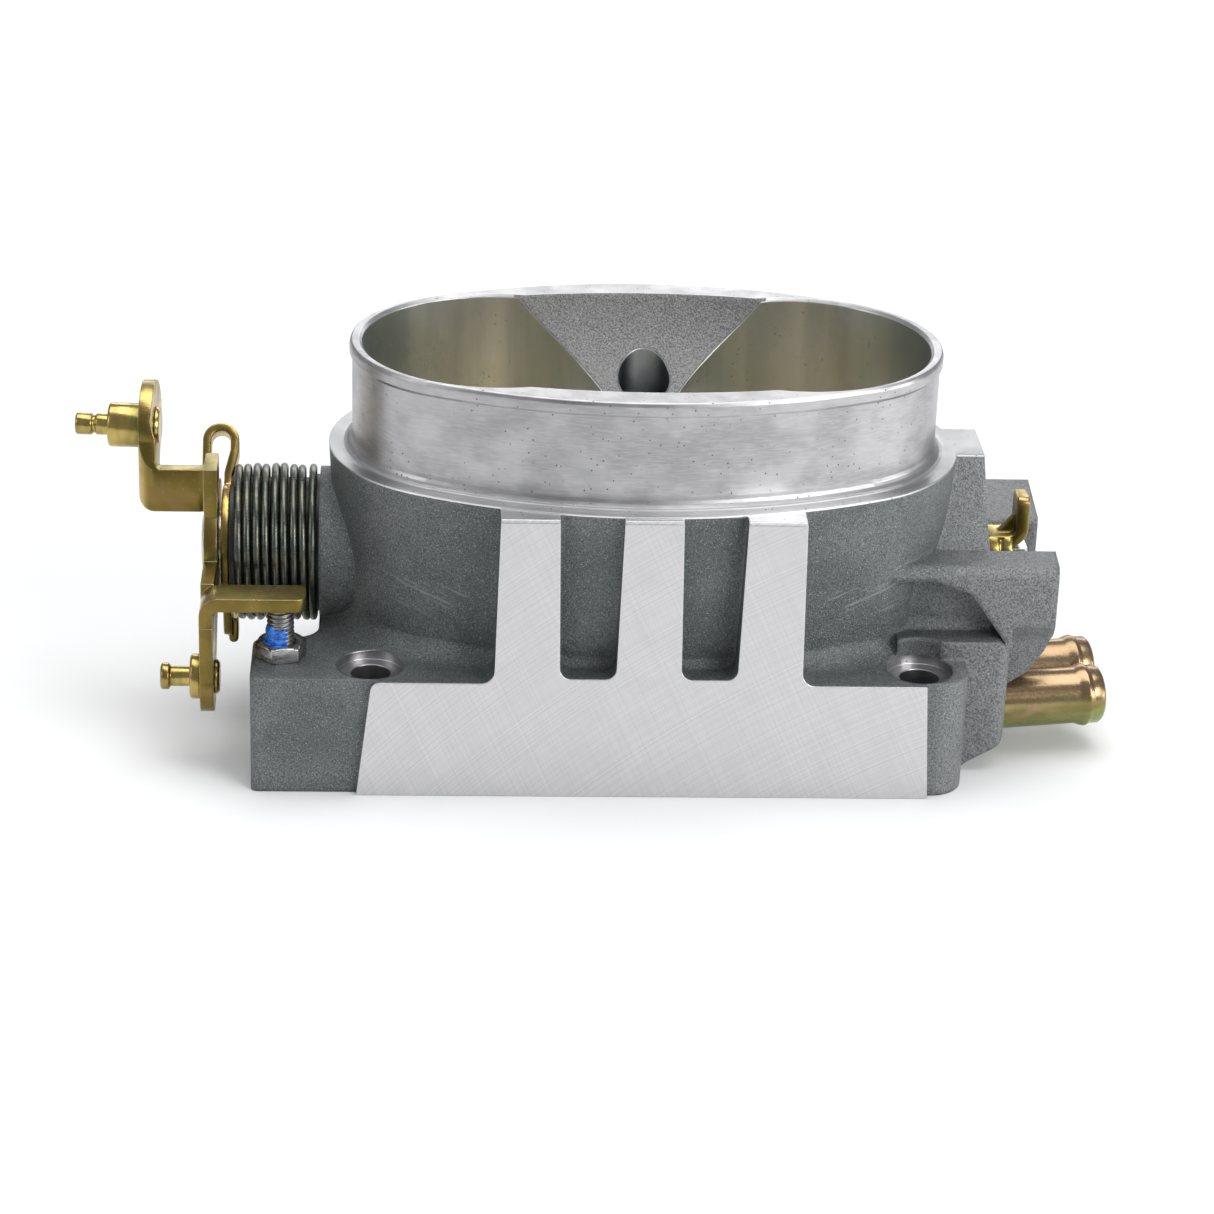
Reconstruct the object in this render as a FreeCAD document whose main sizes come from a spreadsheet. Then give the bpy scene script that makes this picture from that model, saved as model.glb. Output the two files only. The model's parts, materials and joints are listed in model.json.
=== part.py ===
import FreeCAD, Part
import math
import os

import Sketcher

# Twin-bore throttle body, millimetres.
# Origin: centre of the engine-side mounting face, between the two bores.
# +X runs along the throttle shaft towards the position-sensor end, +Y away from the
# machined front pad, +Z from the mounting face up to the air inlet.

os.makedirs("parts", exist_ok=True)
doc = FreeCAD.newDocument("throttle_body")
sheet = doc.addObject("Spreadsheet::Sheet", "dims")
V = FreeCAD.Vector

SIZES = {
    "bore_radius": 29.0, "bore_half_pitch": 33.0, "total_height": 88.8, "shelf_height": 65.0,
    "flange_height": 26.8, "front_face": 44.0, "cast_front": 42.5,
    "neck_half_x": 64.1, "neck_half_y": 37.3, "neck_end_radius": 29.2, "neck_step": 5.0,
    "root_half_x": 67.0, "root_half_y": 36.3, "root_end_radius": 31.0, "skirt_radius": 6.0,
    "bead_proud": 0.6, "bead_height": 3.3, "lip_chamfer": 0.7,
    "trough_floor": 67.0, "trough_mid_radius": 33.37, "trough_end_radius": 29.53,
    "trough_end_x": 28.0,
    "idle_hole_radius": 5.75, "idle_hole_x": 0.8, "idle_hole_y": 19.0,
    "flange_right": 69.9, "flange_left": 71.0, "lug_left": 85.0, "lug_back": 21.0,
    "bolt_x": 59.4, "bolt_y": 34.8, "bolt_radius": 4.35, "spot_radius": 7.15, "spot_depth": 2.0,
    "pad_left_top": 59.1, "pad_left_foot": 62.3, "pad_right_top": 59.9, "pad_right_foot": 61.6,
    "pad_proud_back": 30.0,
    "rib_pitch": 26.0, "rib_top_half": 6.2, "rib_foot_half": 7.0, "rib_foot_height": 28.0,
    "rib_top_height": 64.7,
    "shaft_height": 40.3, "shaft_radius": 4.75, "left_boss_radius": 17.0, "left_boss_face": 71.0,
    "snout_radius": 8.4, "snout_end": 80.0, "bearing_radius": 6.5, "running_gap": 0.03,
    "bearing_length": 11.0, "seal_length": 2.0, "bearing_inner_x": 65.0,
    "right_boss_face": 76.0, "right_boss_top_x": 75.0,
    "front_ear_low_y": 28.0, "front_ear_high_y": 16.5, "front_ear_top": 47.6,
    "front_ear_foot": 34.0, "rear_ear_low_y": 15.0, "rear_ear_high_y": 39.6, "rear_ear_top": 41.4,
    "rear_ear_foot": 32.0, "ear_face_front": 89.6, "ear_face_back": 93.4,
    "sensor_hole_y": 22.2, "sensor_hole_rise": 2.7, "sensor_hole_radius": 1.65,
    "sensor_hole_start": 79.0,
    "coolant_boss_x": 80.0, "coolant_boss_top": 31.0, "coolant_boss_front": 30.0,
    "coolant_boss_back": 15.0,
    "nipple_radius": 6.3, "nipple_bead": 7.05, "nipple_bore": 4.9, "nipple_length": 23.6,
    "nipple_insert": 6.0, "nipple_angle": 10.0, "front_nipple_y": 18.0, "rear_nipple_y": 2.8,
    "nipple_height": 11.4, "gallery_x": 73.0, "gallery_radius": 3.0, "plug_radius": 4.2,
    "stop_screw_x": 78.8, "stop_screw_y": 30.0, "stop_screw_radius": 2.95, "stop_screw_top": 38.35,
    "nut_flat": 5.0, "nut_height": 3.5, "nut_turn": 14.0,
    "plate_closed_angle": 6.0, "plate_thickness": 2.2, "plate_gap": 0.15, "plate_screw_offset": 15.0,
    "lever_outer": 96.1, "lever_inner": 93.2, "lever_hub_radius": 14.0,
    "arm_outer": 110.5, "arm_inner": 107.6, "arm_top_y": 3.0, "arm_top_z": 66.4,
    "arm_end_radius": 10.1, "arm_lean": 1.2, "arm_back_y": 13.5,
    "web_front": 10.0, "web_low": 51.5, "web_high": 61.3,
    "tab_right": 73.4, "tab_front": 34.0, "tab_back": 26.0, "tab_low": 38.4, "tab_high": 41.4,
    "foot_y": 27.0, "foot_z": 20.0, "foot_radius": 7.6,
    "hook_outer": 92.5, "hook_inner": 90.6, "hook_half_width": 2.4, "hook_step": 1.25,
    "hook_loop_radius": 4.03, "hook_loop_height": 63.0, "hook_lean": 38.0, "spacer_radius": 7.0,
    "spring_mean_radius": 16.4, "spring_wire_radius": 0.9, "spring_left": 89.4, "spring_right": 72.0,
    "spring_turns": 9.0, "spring_hook_leg": 16.0, "spring_body_leg": 7.5, "guide_radius": 14.4,
    "tang_outer": 86.4, "tang_inner": 83.6, "tang_top": 54.0, "tang_half_width": 3.6,
    "collar_radius": 5.9,
    "cover_half_x": 27.0, "cover_low": 7.0, "cover_high": 53.0, "cover_thickness": 4.0,
    "gasket_thickness": 0.8, "cover_screw_x": 21.5, "cover_screw_low": 12.5,
    "cover_screw_high": 47.5, "valve_port_radius": 10.0, "valve_port_height": 37.5,
}
for row, (alias, value) in enumerate(SIZES.items(), start=1):
    sheet.set(f"A{row}", alias)
    sheet.set(f"B{row}", str(value))
    sheet.setAlias(f"B{row}", alias)
doc.recompute()


class Size:
    """A length or angle that knows its number and the spreadsheet formula behind it."""

    def __init__(self, value, text):
        self.value = value
        self.text = text

    def _join(self, sign, other, value):
        return Size(value, f"({self.text} {sign} {size(other).text})")

    def __add__(self, other):
        return self._join("+", other, self.value + size(other).value)

    def __sub__(self, other):
        return self._join("-", other, self.value - size(other).value)

    def __mul__(self, other):
        return self._join("*", other, self.value * size(other).value)

    def __truediv__(self, other):
        return self._join("/", other, self.value / size(other).value)

    def __neg__(self):
        return Size(-self.value, f"(0 - {self.text})")


def size(number):
    return number if isinstance(number, Size) else Size(float(number), f"({float(number)})")


class Dims:
    """Gives d.alias for every cell of the sheet."""

    def __getattr__(self, alias):
        return Size(float(sheet.get(alias)), f"dims.{alias}")


d = Dims()


# ---------------------------------------------------------------- building helpers

def bind(thing, prop, amount):
    thing.setExpression(prop, size(amount).text)


def place(thing, x=0.0, y=0.0, z=0.0, axis=V(0, 0, 1), angle=0.0):
    thing.Placement = FreeCAD.Placement(V(0, 0, 0), FreeCAD.Rotation(axis, angle))
    for letter, amount in zip("xyz", (x, y, z)):
        bind(thing, f"Placement.Base.{letter}", amount)
    return thing


def box(name, low, high):
    thing = doc.addObject("Part::Box", name)
    for prop, start, end in zip(("Length", "Width", "Height"), low, high):
        bind(thing, prop, size(end) - size(start))
    return place(thing, *low)


TURN = {"x": (V(0, 1, 0), 90.0), "y": (V(1, 0, 0), -90.0), "z": (V(0, 0, 1), 0.0)}


def rod(name, along, start, end, across, radius):
    """Cylinder along x, y or z from start to end; across gives its other two places."""
    thing = doc.addObject("Part::Cylinder", name)
    bind(thing, "Radius", radius)
    bind(thing, "Height", size(end) - size(start))
    spot = list(across)
    spot.insert("xyz".index(along), start)
    return place(thing, *spot, *TURN[along])


def cone(name, start, end, across, low_radius, high_radius):
    thing = doc.addObject("Part::Cone", name)
    bind(thing, "Radius1", low_radius)
    bind(thing, "Radius2", high_radius)
    bind(thing, "Height", size(end) - size(start))
    return place(thing, across[0], across[1], start)


def fuse(name, *shapes):
    thing = doc.addObject("Part::MultiFuse", name)
    thing.Shapes = list(shapes)
    thing.Refine = True
    return thing


def cut(name, base, *tools):
    tool = tools[0] if len(tools) == 1 else fuse(f"{name}_tools", *tools)
    thing = doc.addObject("Part::Cut", name)
    thing.Base = base
    thing.Tool = tool
    thing.Refine = True
    return thing


def common(name, *shapes):
    thing = doc.addObject("Part::MultiCommon", name)
    thing.Shapes = list(shapes)
    return thing


def corner(sketch, geo, point, x, y):
    sketch.addConstraint(Sketcher.Constraint("DistanceX", -1, 1, geo, point, size(x).value))
    sketch.setExpression(f"Constraints[{sketch.ConstraintCount - 1}]", size(x).text)
    sketch.addConstraint(Sketcher.Constraint("DistanceY", -1, 1, geo, point, size(y).value))
    sketch.setExpression(f"Constraints[{sketch.ConstraintCount - 1}]", size(y).text)


def outline(sketch, points):
    """Closed polygon in a sketch, every corner held by the sheet."""
    flat = [V(size(x).value, size(y).value, 0) for x, y in points]
    count = len(flat)
    for index in range(count):
        sketch.addGeometry(Part.LineSegment(flat[index], flat[(index + 1) % count]), False)
    for index in range(count):
        sketch.addConstraint(
            Sketcher.Constraint("Coincident", index, 2, (index + 1) % count, 1))
    for index, (x, y) in enumerate(points):
        corner(sketch, index, 1, x, y)


PLANES = {"xy": (V(0, 0, 1), 0.0), "xz": (V(1, 0, 0), 90.0), "yz": (V(1, 1, 1), 120.0)}


def extrude(name, sketch, length):
    thing = doc.addObject("Part::Extrusion", name)
    thing.Base = sketch
    thing.DirMode = "Normal"
    thing.Solid = True
    bind(thing, "LengthFwd", length)
    return thing


def prism(name, plane, points, low, high):
    """Polygon in a plane, pulled from low to high along that plane's own axis."""
    sketch = doc.addObject("Sketcher::SketchObject", f"{name}_sketch")
    start = size(high) if plane == "xz" else size(low)
    spot = {"xy": (0, 0, start), "xz": (0, start, 0), "yz": (start, 0, 0)}[plane]
    place(sketch, *spot, *PLANES[plane])
    outline(sketch, points)
    return extrude(name, sketch, size(high) - size(low))


def rounded(name, base, along, corners):
    """Fillet the straight edges that run along one axis through the given corners."""
    doc.recompute()
    index_along = "xyz".index(along)
    picked = []
    for u, v, radius in corners:
        wanted = (size(u).value, size(v).value)
        for number, edge in enumerate(base.Shape.Edges, start=1):
            ends = [[c for i, c in enumerate(p.Point) if i != index_along] for p in edge.Vertexes]
            if all(math.dist(end, wanted) < 0.02 for end in ends):
                picked.append((number, size(radius).value, size(radius).value))
    if len(picked) < len(corners):
        raise RuntimeError(f"{name}: {len(picked)} edges found for {len(corners)} corners")
    thing = doc.addObject("Part::Fillet", name)
    thing.Base = base
    thing.Edges = picked
    return thing


def oval(name, height, half_x, half_y, end_radius):
    """Four-arc oval sketch: two end arcs and two wide side arcs, all tangent."""
    reach = size(half_x) - end_radius
    side = ((reach * reach + size(half_y) * half_y - size(end_radius) * end_radius)
            / ((size(half_y) - end_radius) * 2.0))
    drop = side - half_y
    sketch = doc.addObject("Sketcher::SketchObject", name)
    place(sketch, 0, 0, height)
    lean = math.atan2(drop.value, reach.value)
    arcs = [(reach.value, 0.0, size(end_radius).value, -lean, lean),
            (0.0, -drop.value, side.value, lean, math.pi - lean),
            (-reach.value, 0.0, size(end_radius).value, math.pi - lean, math.pi + lean),
            (0.0, drop.value, side.value, math.pi + lean, 2 * math.pi - lean)]
    for x, y, radius, start, end in arcs:
        circle = Part.Circle(V(x, y, 0), V(0, 0, 1), radius)
        sketch.addGeometry(Part.ArcOfCircle(circle, start, end), False)
    for index in range(4):
        sketch.addConstraint(Sketcher.Constraint("Tangent", index, 2, (index + 1) % 4, 1))
    corner(sketch, 0, 3, reach, 0)
    corner(sketch, 2, 3, -reach, 0)
    for index, radius in ((0, end_radius), (1, side), (2, end_radius), (3, side)):
        sketch.addConstraint(Sketcher.Constraint("Radius", index, size(radius).value))
        sketch.setExpression(f"Constraints[{sketch.ConstraintCount - 1}]", size(radius).text)
    return sketch


def along_oval(name, spine, start_x, profile):
    """Sweep a profile, given as offset from the oval's end and height, round the oval."""
    sketch = doc.addObject("Sketcher::SketchObject", f"{name}_profile")
    place(sketch, 0, 0, 0, *PLANES["xz"])
    outline(sketch, [(size(start_x) + offset, height) for offset, height in profile])
    thing = doc.addObject("Part::Sweep", name)
    thing.Sections = [sketch]
    thing.Spine = (spine, ["Edge1", "Edge2", "Edge3", "Edge4"])
    thing.Solid = True
    thing.Frenet = False
    return thing


def turned(name, profile, x=0.0, y=0.0, z=0.0, axis=V(0, 0, 1), angle=0.0):
    """Body turned about its own X axis from (distance along, radius) points."""
    body = doc.addObject("PartDesign::Body", name)
    sketch = body.newObject("Sketcher::SketchObject", f"{name}_profile")
    plane = next(f for f in body.Origin.OriginFeatures if f.Role == "XY_Plane")
    sketch.AttachmentSupport = [(plane, "")]
    sketch.MapMode = "FlatFace"
    outline(sketch, profile)
    feature = body.newObject("PartDesign::Revolution", f"{name}_turn")
    feature.Profile = sketch
    feature.ReferenceAxis = (sketch, ["H_Axis"])
    feature.Angle = 360.0
    return place(body, x, y, z, axis, angle)


def ring(start, end, inner, outer, edge=0.0):
    """Profile of a turned ring, its outer corners broken by edge."""
    if edge == 0.0:
        return [(start, inner), (end, inner), (end, outer), (start, outer)]
    return [(start, inner), (end, inner), (end, size(outer) - edge), (size(end) - edge, outer),
            (size(start) + edge, outer), (start, size(outer) - edge)]


parts = []


def keep(thing, label):
    thing.Label = label
    parts.append(thing)
    return thing


SHAFT = (0.0, d.shaft_height)


# ---------------------------------------------------------------- casting

def bores(name, radius, low, high):
    return [rod(f"{name}_{side}", "z", low, high, (d.bore_half_pitch * sign, 0), radius)
            for side, sign in (("left", -1), ("right", 1))]


def casting_blank():
    flange = prism("flange_blank", "xy", [
        (-d.lug_left, -d.cast_front), (d.flange_right, -d.cast_front),
        (d.flange_right, d.front_face), (-d.flange_left, d.front_face),
        (-d.flange_left, -d.lug_back), (-d.lug_left, -d.lug_back)], 0, d.flange_height)
    flange = rounded("flange_corners", flange, "z", [
        (-d.lug_left, -d.cast_front, 1.6), (d.flange_right, -d.cast_front, 7.5),
        (d.flange_right, d.front_face, 9.0), (-d.flange_left, d.front_face, 9.0),
        (-d.flange_left, -d.lug_back, 5.0), (-d.lug_left, -d.lug_back, 4.0)])

    top = oval("shelf_oval", d.shelf_height, d.neck_half_x + d.neck_step,
               d.neck_half_y + d.neck_step, d.neck_end_radius + d.neck_step)
    foot = oval("root_oval", d.flange_height - 4.0, d.root_half_x, d.root_half_y,
                d.root_end_radius)
    body = doc.addObject("Part::Loft", "body_loft")
    body.Sections = [foot, top]
    body.Solid = True
    body.Ruled = True

    r = d.skirt_radius
    arc = [(r * (1 - math.sin(math.radians(a))), d.flange_height + r * (1 - math.cos(math.radians(a))))
           for a in range(0, 91, 15)]
    skirt = along_oval("skirt", foot, d.root_half_x,
                       [(-2.0, d.flange_height - 1.0), (r, d.flange_height - 1.0)] + arc
                       + [(-2.0, d.flange_height + r)])
    fence = box("skirt_limit", (-d.flange_left, -d.cast_front, d.flange_height - 1.0),
                (d.flange_right, d.front_face, d.shelf_height))
    return [flange, body, common("skirt_trimmed", skirt, fence)]


def neck():
    spine = oval("neck_oval", d.shelf_height, d.neck_half_x, d.neck_half_y, d.neck_end_radius)
    core = extrude("neck_core", spine, d.total_height - d.shelf_height)
    under = d.total_height - d.bead_height
    fillet = 2.6
    profile = [(-1.5, d.shelf_height - 0.5), (fillet, d.shelf_height - 0.5)]
    profile += [(fillet * (1 - math.sin(math.radians(a))),
                 d.shelf_height + fillet * (1 - math.cos(math.radians(a)))) for a in range(0, 91, 18)]
    profile += [(0.0, under - 0.9), (-0.35, under - 0.6), (-0.35, under - 0.25), (0.25, under),
                (d.bead_proud, under + 0.6), (d.bead_proud, d.total_height - 0.9),
                (d.bead_proud * 0.6, d.total_height - 0.25), (0.0, d.total_height),
                (-1.5, d.total_height)]
    return [core, along_oval("neck_skin", spine, d.neck_half_x, profile)]


def ribs_and_pad():
    half = d.rib_pitch + d.rib_foot_half
    slim = d.rib_pitch - d.rib_foot_half
    points = [(-d.pad_left_foot, 0), (d.pad_right_foot, 0), (d.pad_right_top, d.flange_height),
              (half, d.flange_height), (d.rib_pitch + d.rib_top_half, d.rib_top_height),
              (d.rib_pitch - d.rib_top_half, d.rib_top_height), (slim, d.rib_foot_height),
              (d.rib_foot_half, d.rib_foot_height), (d.rib_top_half, d.rib_top_height),
              (-d.rib_top_half, d.rib_top_height), (-d.rib_foot_half, d.rib_foot_height),
              (-slim, d.rib_foot_height), (-d.rib_pitch + d.rib_top_half, d.rib_top_height),
              (-d.rib_pitch - d.rib_top_half, d.rib_top_height), (-half, d.flange_height),
              (-d.pad_left_top, d.flange_height)]
    comb = prism("front_comb", "xz", points, -d.front_face, -d.pad_proud_back)
    comb = rounded("front_comb_rounded", comb, "y", [
        (slim, d.rib_foot_height, 2.5), (d.rib_foot_half, d.rib_foot_height, 2.5),
        (-slim, d.rib_foot_height, 2.5), (-d.rib_foot_half, d.rib_foot_height, 2.5),
        (half, d.flange_height, 3.0), (-half, d.flange_height, 3.0),
        (-d.pad_left_top, d.flange_height, 2.0)])
    # bright machined chamfer across the rib tops
    slope = prism("rib_top_chamfer", "yz", [
        (-d.front_face - 1.0, d.rib_top_height - 1.6), (-d.front_face + 0.7, d.rib_top_height + 0.1),
        (-d.front_face - 1.0, d.rib_top_height + 0.1)], -40, 40)
    return [cut("front_comb_chamfered", comb, slope)]


def shaft_bosses():
    left = rod("left_boss", "x", -d.left_boss_face, -50, SHAFT, d.left_boss_radius)
    snout = rod("left_snout", "x", -d.snout_end, -d.left_boss_face, SHAFT, d.snout_radius)
    side = prism("right_boss_side", "xz", [
        (50, d.flange_height - 4.0), (d.right_boss_face + 0.8, d.flange_height - 4.0),
        (d.right_boss_face, 46), (d.right_boss_top_x, d.shelf_height), (50, d.shelf_height)], -30, 30)
    end = prism("right_boss_end", "yz", [
        (-26, d.flange_height - 4.0), (28, d.flange_height - 4.0), (23, 42), (16, 54),
        (11, d.shelf_height), (-5, d.shelf_height), (-11, 53), (-19, 43)], 50, 90)
    end = rounded("right_boss_rounded", end, "x", [
        (11, d.shelf_height, 1.2), (-5, d.shelf_height, 1.2), (-11, 53, 8.0), (-19, 43, 10.0),
        (23, 42, 8.0), (16, 54, 8.0)])
    return [left, snout, common("right_boss", side, end)]


def ears():
    """Two ears for the throttle-position sensor, faced off together along a slanted plane."""
    # low and belly: undersides of the rear and the front ear; root: inside the casting's wall
    low = d.flange_height - 2.0
    root = 50
    past = 96
    edge = size(past)
    belly = 17.5
    side = prism("front_ear_side", "xz", [
        (root, belly), (80.6, belly), (84.9, 20.8), (88.4, 26.6), (89.9, 31.5), (edge, 32.0),
        (edge, d.front_ear_top), (root, d.front_ear_top)], -d.front_ear_low_y, -d.front_ear_high_y)
    side = rounded("front_ear_side_rounded", side, "y", [
        (84.9, 20.8, 5.0), (88.4, 26.6, 8.0), (89.9, 31.5, 1.0)])
    profile = prism("front_ear_profile", "yz", [
        (-d.front_ear_low_y, d.front_ear_top), (-d.front_ear_low_y, d.front_ear_foot),
        (-24.5, 29.5), (-22.5, belly - 1.0), (-d.front_ear_high_y, belly - 1.0),
        (-d.front_ear_high_y, d.front_ear_top)], root, edge)
    profile = rounded("front_ear_profile_rounded", profile, "x", [
        (-d.front_ear_low_y, d.front_ear_top, 2.6), (-d.front_ear_high_y, d.front_ear_top, 1.5),
        (-d.front_ear_low_y, d.front_ear_foot, 1.0), (-24.5, 29.5, 4.0)])
    # ridge running down from the ear to the coolant boss's corner
    ridge = [(70.6, 41.8), (78.7, 30.3)]
    hollow = prism("front_ear_hollow", "xz", [(root - 1, 14), (root - 1, 44), (62, 44.8)] + ridge + [
        (78.7, 14)], -d.front_ear_low_y - 1.0, -22.4)
    web = prism("front_ear_web", "xz", [(74.6, 36.1), ridge[1], (79.3, 28), (80.3, 28),
                                        (80.3, 36.1)], -d.front_ear_low_y, -18)
    front = fuse("front_ear", cut("front_ear_hollowed", common("front_ear_solid", side, profile),
                                  hollow), web)
    rear = prism("rear_ear", "xz", [
        (d.bolt_x, low), (78, low), (d.ear_face_front, d.rear_ear_foot), (edge, d.rear_ear_foot),
        (edge, d.rear_ear_top), (d.bolt_x, d.rear_ear_top)], d.rear_ear_low_y, d.rear_ear_high_y)
    rear = rounded("rear_ear_broken", rear, "x", [
        (d.rear_ear_low_y, d.rear_ear_top, 1.2), (d.rear_ear_high_y, d.rear_ear_top, 1.0)])
    reach = d.rear_ear_high_y + d.front_ear_low_y
    slope = (d.ear_face_back - d.ear_face_front) / reach
    ends = [size(-40), size(50)]
    face = [(d.ear_face_front + slope * (y + d.front_ear_low_y), y) for y in ends]
    facing = prism("ear_facing", "xy", [face[0], (past + 4, ends[0]), (past + 4, ends[1]), face[1]],
                   low - 1.0, d.shelf_height)
    return [cut("ears_faced", fuse("ears_rough", front, rear), facing)]


def coolant_boss():
    """Block that takes the two hose nipples, its foot sloping in to the flange's edge."""
    face = d.coolant_boss_x
    top = d.coolant_boss_top
    root = 55
    block = prism("coolant_boss", "xz", [
        (root, 0.6), (face - 9.6, 0.6), (face - 7.7, 2.2), (face - 0.7, 6.2), (face, 9.0),
        (face, top - 2.5), (face - 2.5, top), (root, top)], -d.coolant_boss_front, d.coolant_boss_back)
    block = rounded("coolant_boss_rounded", block, "y", [
        (face - 0.7, 6.2, 2.2), (face - 2.5, top, 2.0), (face - 7.7, 2.2, 1.2)])
    return [rounded("coolant_boss_broken", block, "z", [
        (face, -d.coolant_boss_front, 2.5), (face, d.coolant_boss_back, 3.0)])]


def rear_pad():
    """Face for the idle-air cover, and the lug that the spring's fixed leg pushes against."""
    lug = box("spring_anchor", (-74.5, 17.6, 41), (-57, 21.0, 46.5))
    return [lug, box("rear_pad", (-d.cover_half_x - 2.5, 28, 0),
                (d.cover_half_x + 2.5, d.front_face, d.cover_high + 3.0))]


def divider_trough():
    """Saddle above the wall between the bores, wider in its middle than at the bores."""
    sections = []
    for side, sign in (("left", -1), ("middle", 0), ("right", 1)):
        radius = d.trough_end_radius if sign else d.trough_mid_radius
        ring_edge = doc.addObject("Part::Circle", f"trough_{side}")
        bind(ring_edge, "Radius", radius)
        place(ring_edge, d.trough_end_x * sign, 0, d.trough_floor + radius, V(0, 1, 0), 90.0)
        sections.append(ring_edge)
    saddle = doc.addObject("Part::Loft", "divider_trough")
    saddle.Sections = sections
    saddle.Solid = True
    saddle.Ruled = False
    return saddle


def passages():
    """Every drilled or bored hole of the casting."""
    past = 1.0
    holes = bores("bore", d.bore_radius, -past, d.total_height + past)
    for side, sign in (("left", -1), ("right", 1)):
        holes.append(cone(f"lip_chamfer_{side}", d.total_height - d.lip_chamfer,
                          d.total_height + 0.001, (d.bore_half_pitch * sign, 0),
                          d.bore_radius, d.bore_radius + d.lip_chamfer))
        # the rear cutter is taller: it passes through the root of the rear ear
        for face, reach, top in (("front", -1, 36), ("back", 1, 43)):
            spot = (d.bolt_x * sign, d.bolt_y * reach)
            holes.append(rod(f"bolt_{side}_{face}", "z", -past, 40, spot, d.bolt_radius))
            holes.append(rod(f"spotface_{side}_{face}", "z", d.flange_height - d.spot_depth, top,
                             spot, d.spot_radius))
    holes.append(rod("shaft_hole", "x", -100, 100, SHAFT, d.shaft_radius + 0.12))
    holes.append(rod("left_bearing_seat", "x", -100, -d.snout_end + d.seal_length + d.bearing_length,
                     SHAFT, d.bearing_radius))
    holes.append(rod("right_bearing_seat", "x", d.bearing_inner_x, 100, SHAFT, d.bearing_radius))
    holes.append(rod("idle_hole", "z", 30, 100, (d.idle_hole_x, d.idle_hole_y), d.idle_hole_radius))
    holes.append(rod("idle_port_high", "y", d.idle_hole_y, 60, (d.idle_hole_x, d.valve_port_height),
                     d.idle_hole_radius))
    holes.append(rod("idle_return", "z", -past, 16, (0, 27), 4.0))
    holes.append(rod("idle_port_low", "y", 27, 60, (0, 16), 4.0))
    holes.append(rod("stop_screw_hole", "z", 4, 40, (-d.stop_screw_x, -d.stop_screw_y), 3.0))
    holes.append(rod("gallery", "y", -d.front_nipple_y, 20, (d.gallery_x, d.nipple_height),
                     d.gallery_radius))
    holes.append(rod("gallery_mouth", "y", d.coolant_boss_back - 3.0, 20,
                     (d.gallery_x, d.nipple_height), d.plug_radius))
    for name, y in (("front", -d.front_nipple_y), ("rear", -d.rear_nipple_y)):
        hole = turned(f"nipple_hole_{name}", ring(-d.nipple_insert, 3, 0, d.nipple_radius),
                      d.coolant_boss_x, y, d.nipple_height, V(0, 0, 1), d.nipple_angle.value)
        holes.append(hole)
    for side, sign in (("front", -1), ("rear", 1)):
        holes.append(rod(f"sensor_hole_{side}", "x", d.sensor_hole_start, 100,
                         (d.sensor_hole_y * sign, d.shaft_height - d.sensor_hole_rise * sign),
                         d.sensor_hole_radius))
    for x in (-d.cover_screw_x, d.cover_screw_x):
        for z in (d.cover_screw_low, d.cover_screw_high):
            holes.append(rod("cover_screw_hole", "y", d.front_face - 9.0, 60, (x, z), 2.0))
    return holes


solids = casting_blank() + neck() + ribs_and_pad() + shaft_bosses() + ears()
solids += coolant_boss() + rear_pad()
blank = fuse("casting_blank", *solids)
keep(cut("casting", blank, divider_trough(), *passages()), "throttle_body_casting")


# ---------------------------------------------------------------- pieces fixed to the casting

def bearings():
    """Plain bushes pressed into the casting, and the lip seals outside them."""
    left_end = -d.snout_end + d.seal_length
    right_start = size(d.bearing_inner_x)
    bore = d.shaft_radius + d.running_gap
    spots = [("shaft_bearing_left", left_end, d.bearing_length - 0.1),
             ("shaft_bearing_right", right_start, d.bearing_length - d.seal_length),
             ("shaft_seal_left", -d.snout_end, d.seal_length - 0.05),
             ("shaft_seal_right", right_start + d.bearing_length - d.seal_length + 0.05,
              d.seal_length - 0.05)]
    for label, start, length in spots:
        keep(turned(label, ring(0, length, bore, d.bearing_radius), start, *SHAFT), label)


def spring_guides():
    """Black plastic sleeves that centre the spring on the snout and on the shaft."""
    on_body = [(0, d.snout_radius + 0.05), (9.2, d.snout_radius + 0.05), (9.2, d.guide_radius - 0.6),
               (8.6, d.guide_radius), (2.4, d.guide_radius), (2.4, 15.2), (0, 15.2)]
    keep(turned("guide_on_body", on_body, -d.left_boss_face, *SHAFT, V(0, 0, 1), 180.0),
         "spring_guide_body")
    on_lever = [(0, d.shaft_radius), (9.4, d.shaft_radius), (9.4, d.guide_radius - 0.6),
                (8.8, d.guide_radius), (0, d.guide_radius)]
    keep(turned("guide_on_lever", on_lever, -d.hook_inner, *SHAFT), "spring_guide_lever")


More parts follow.
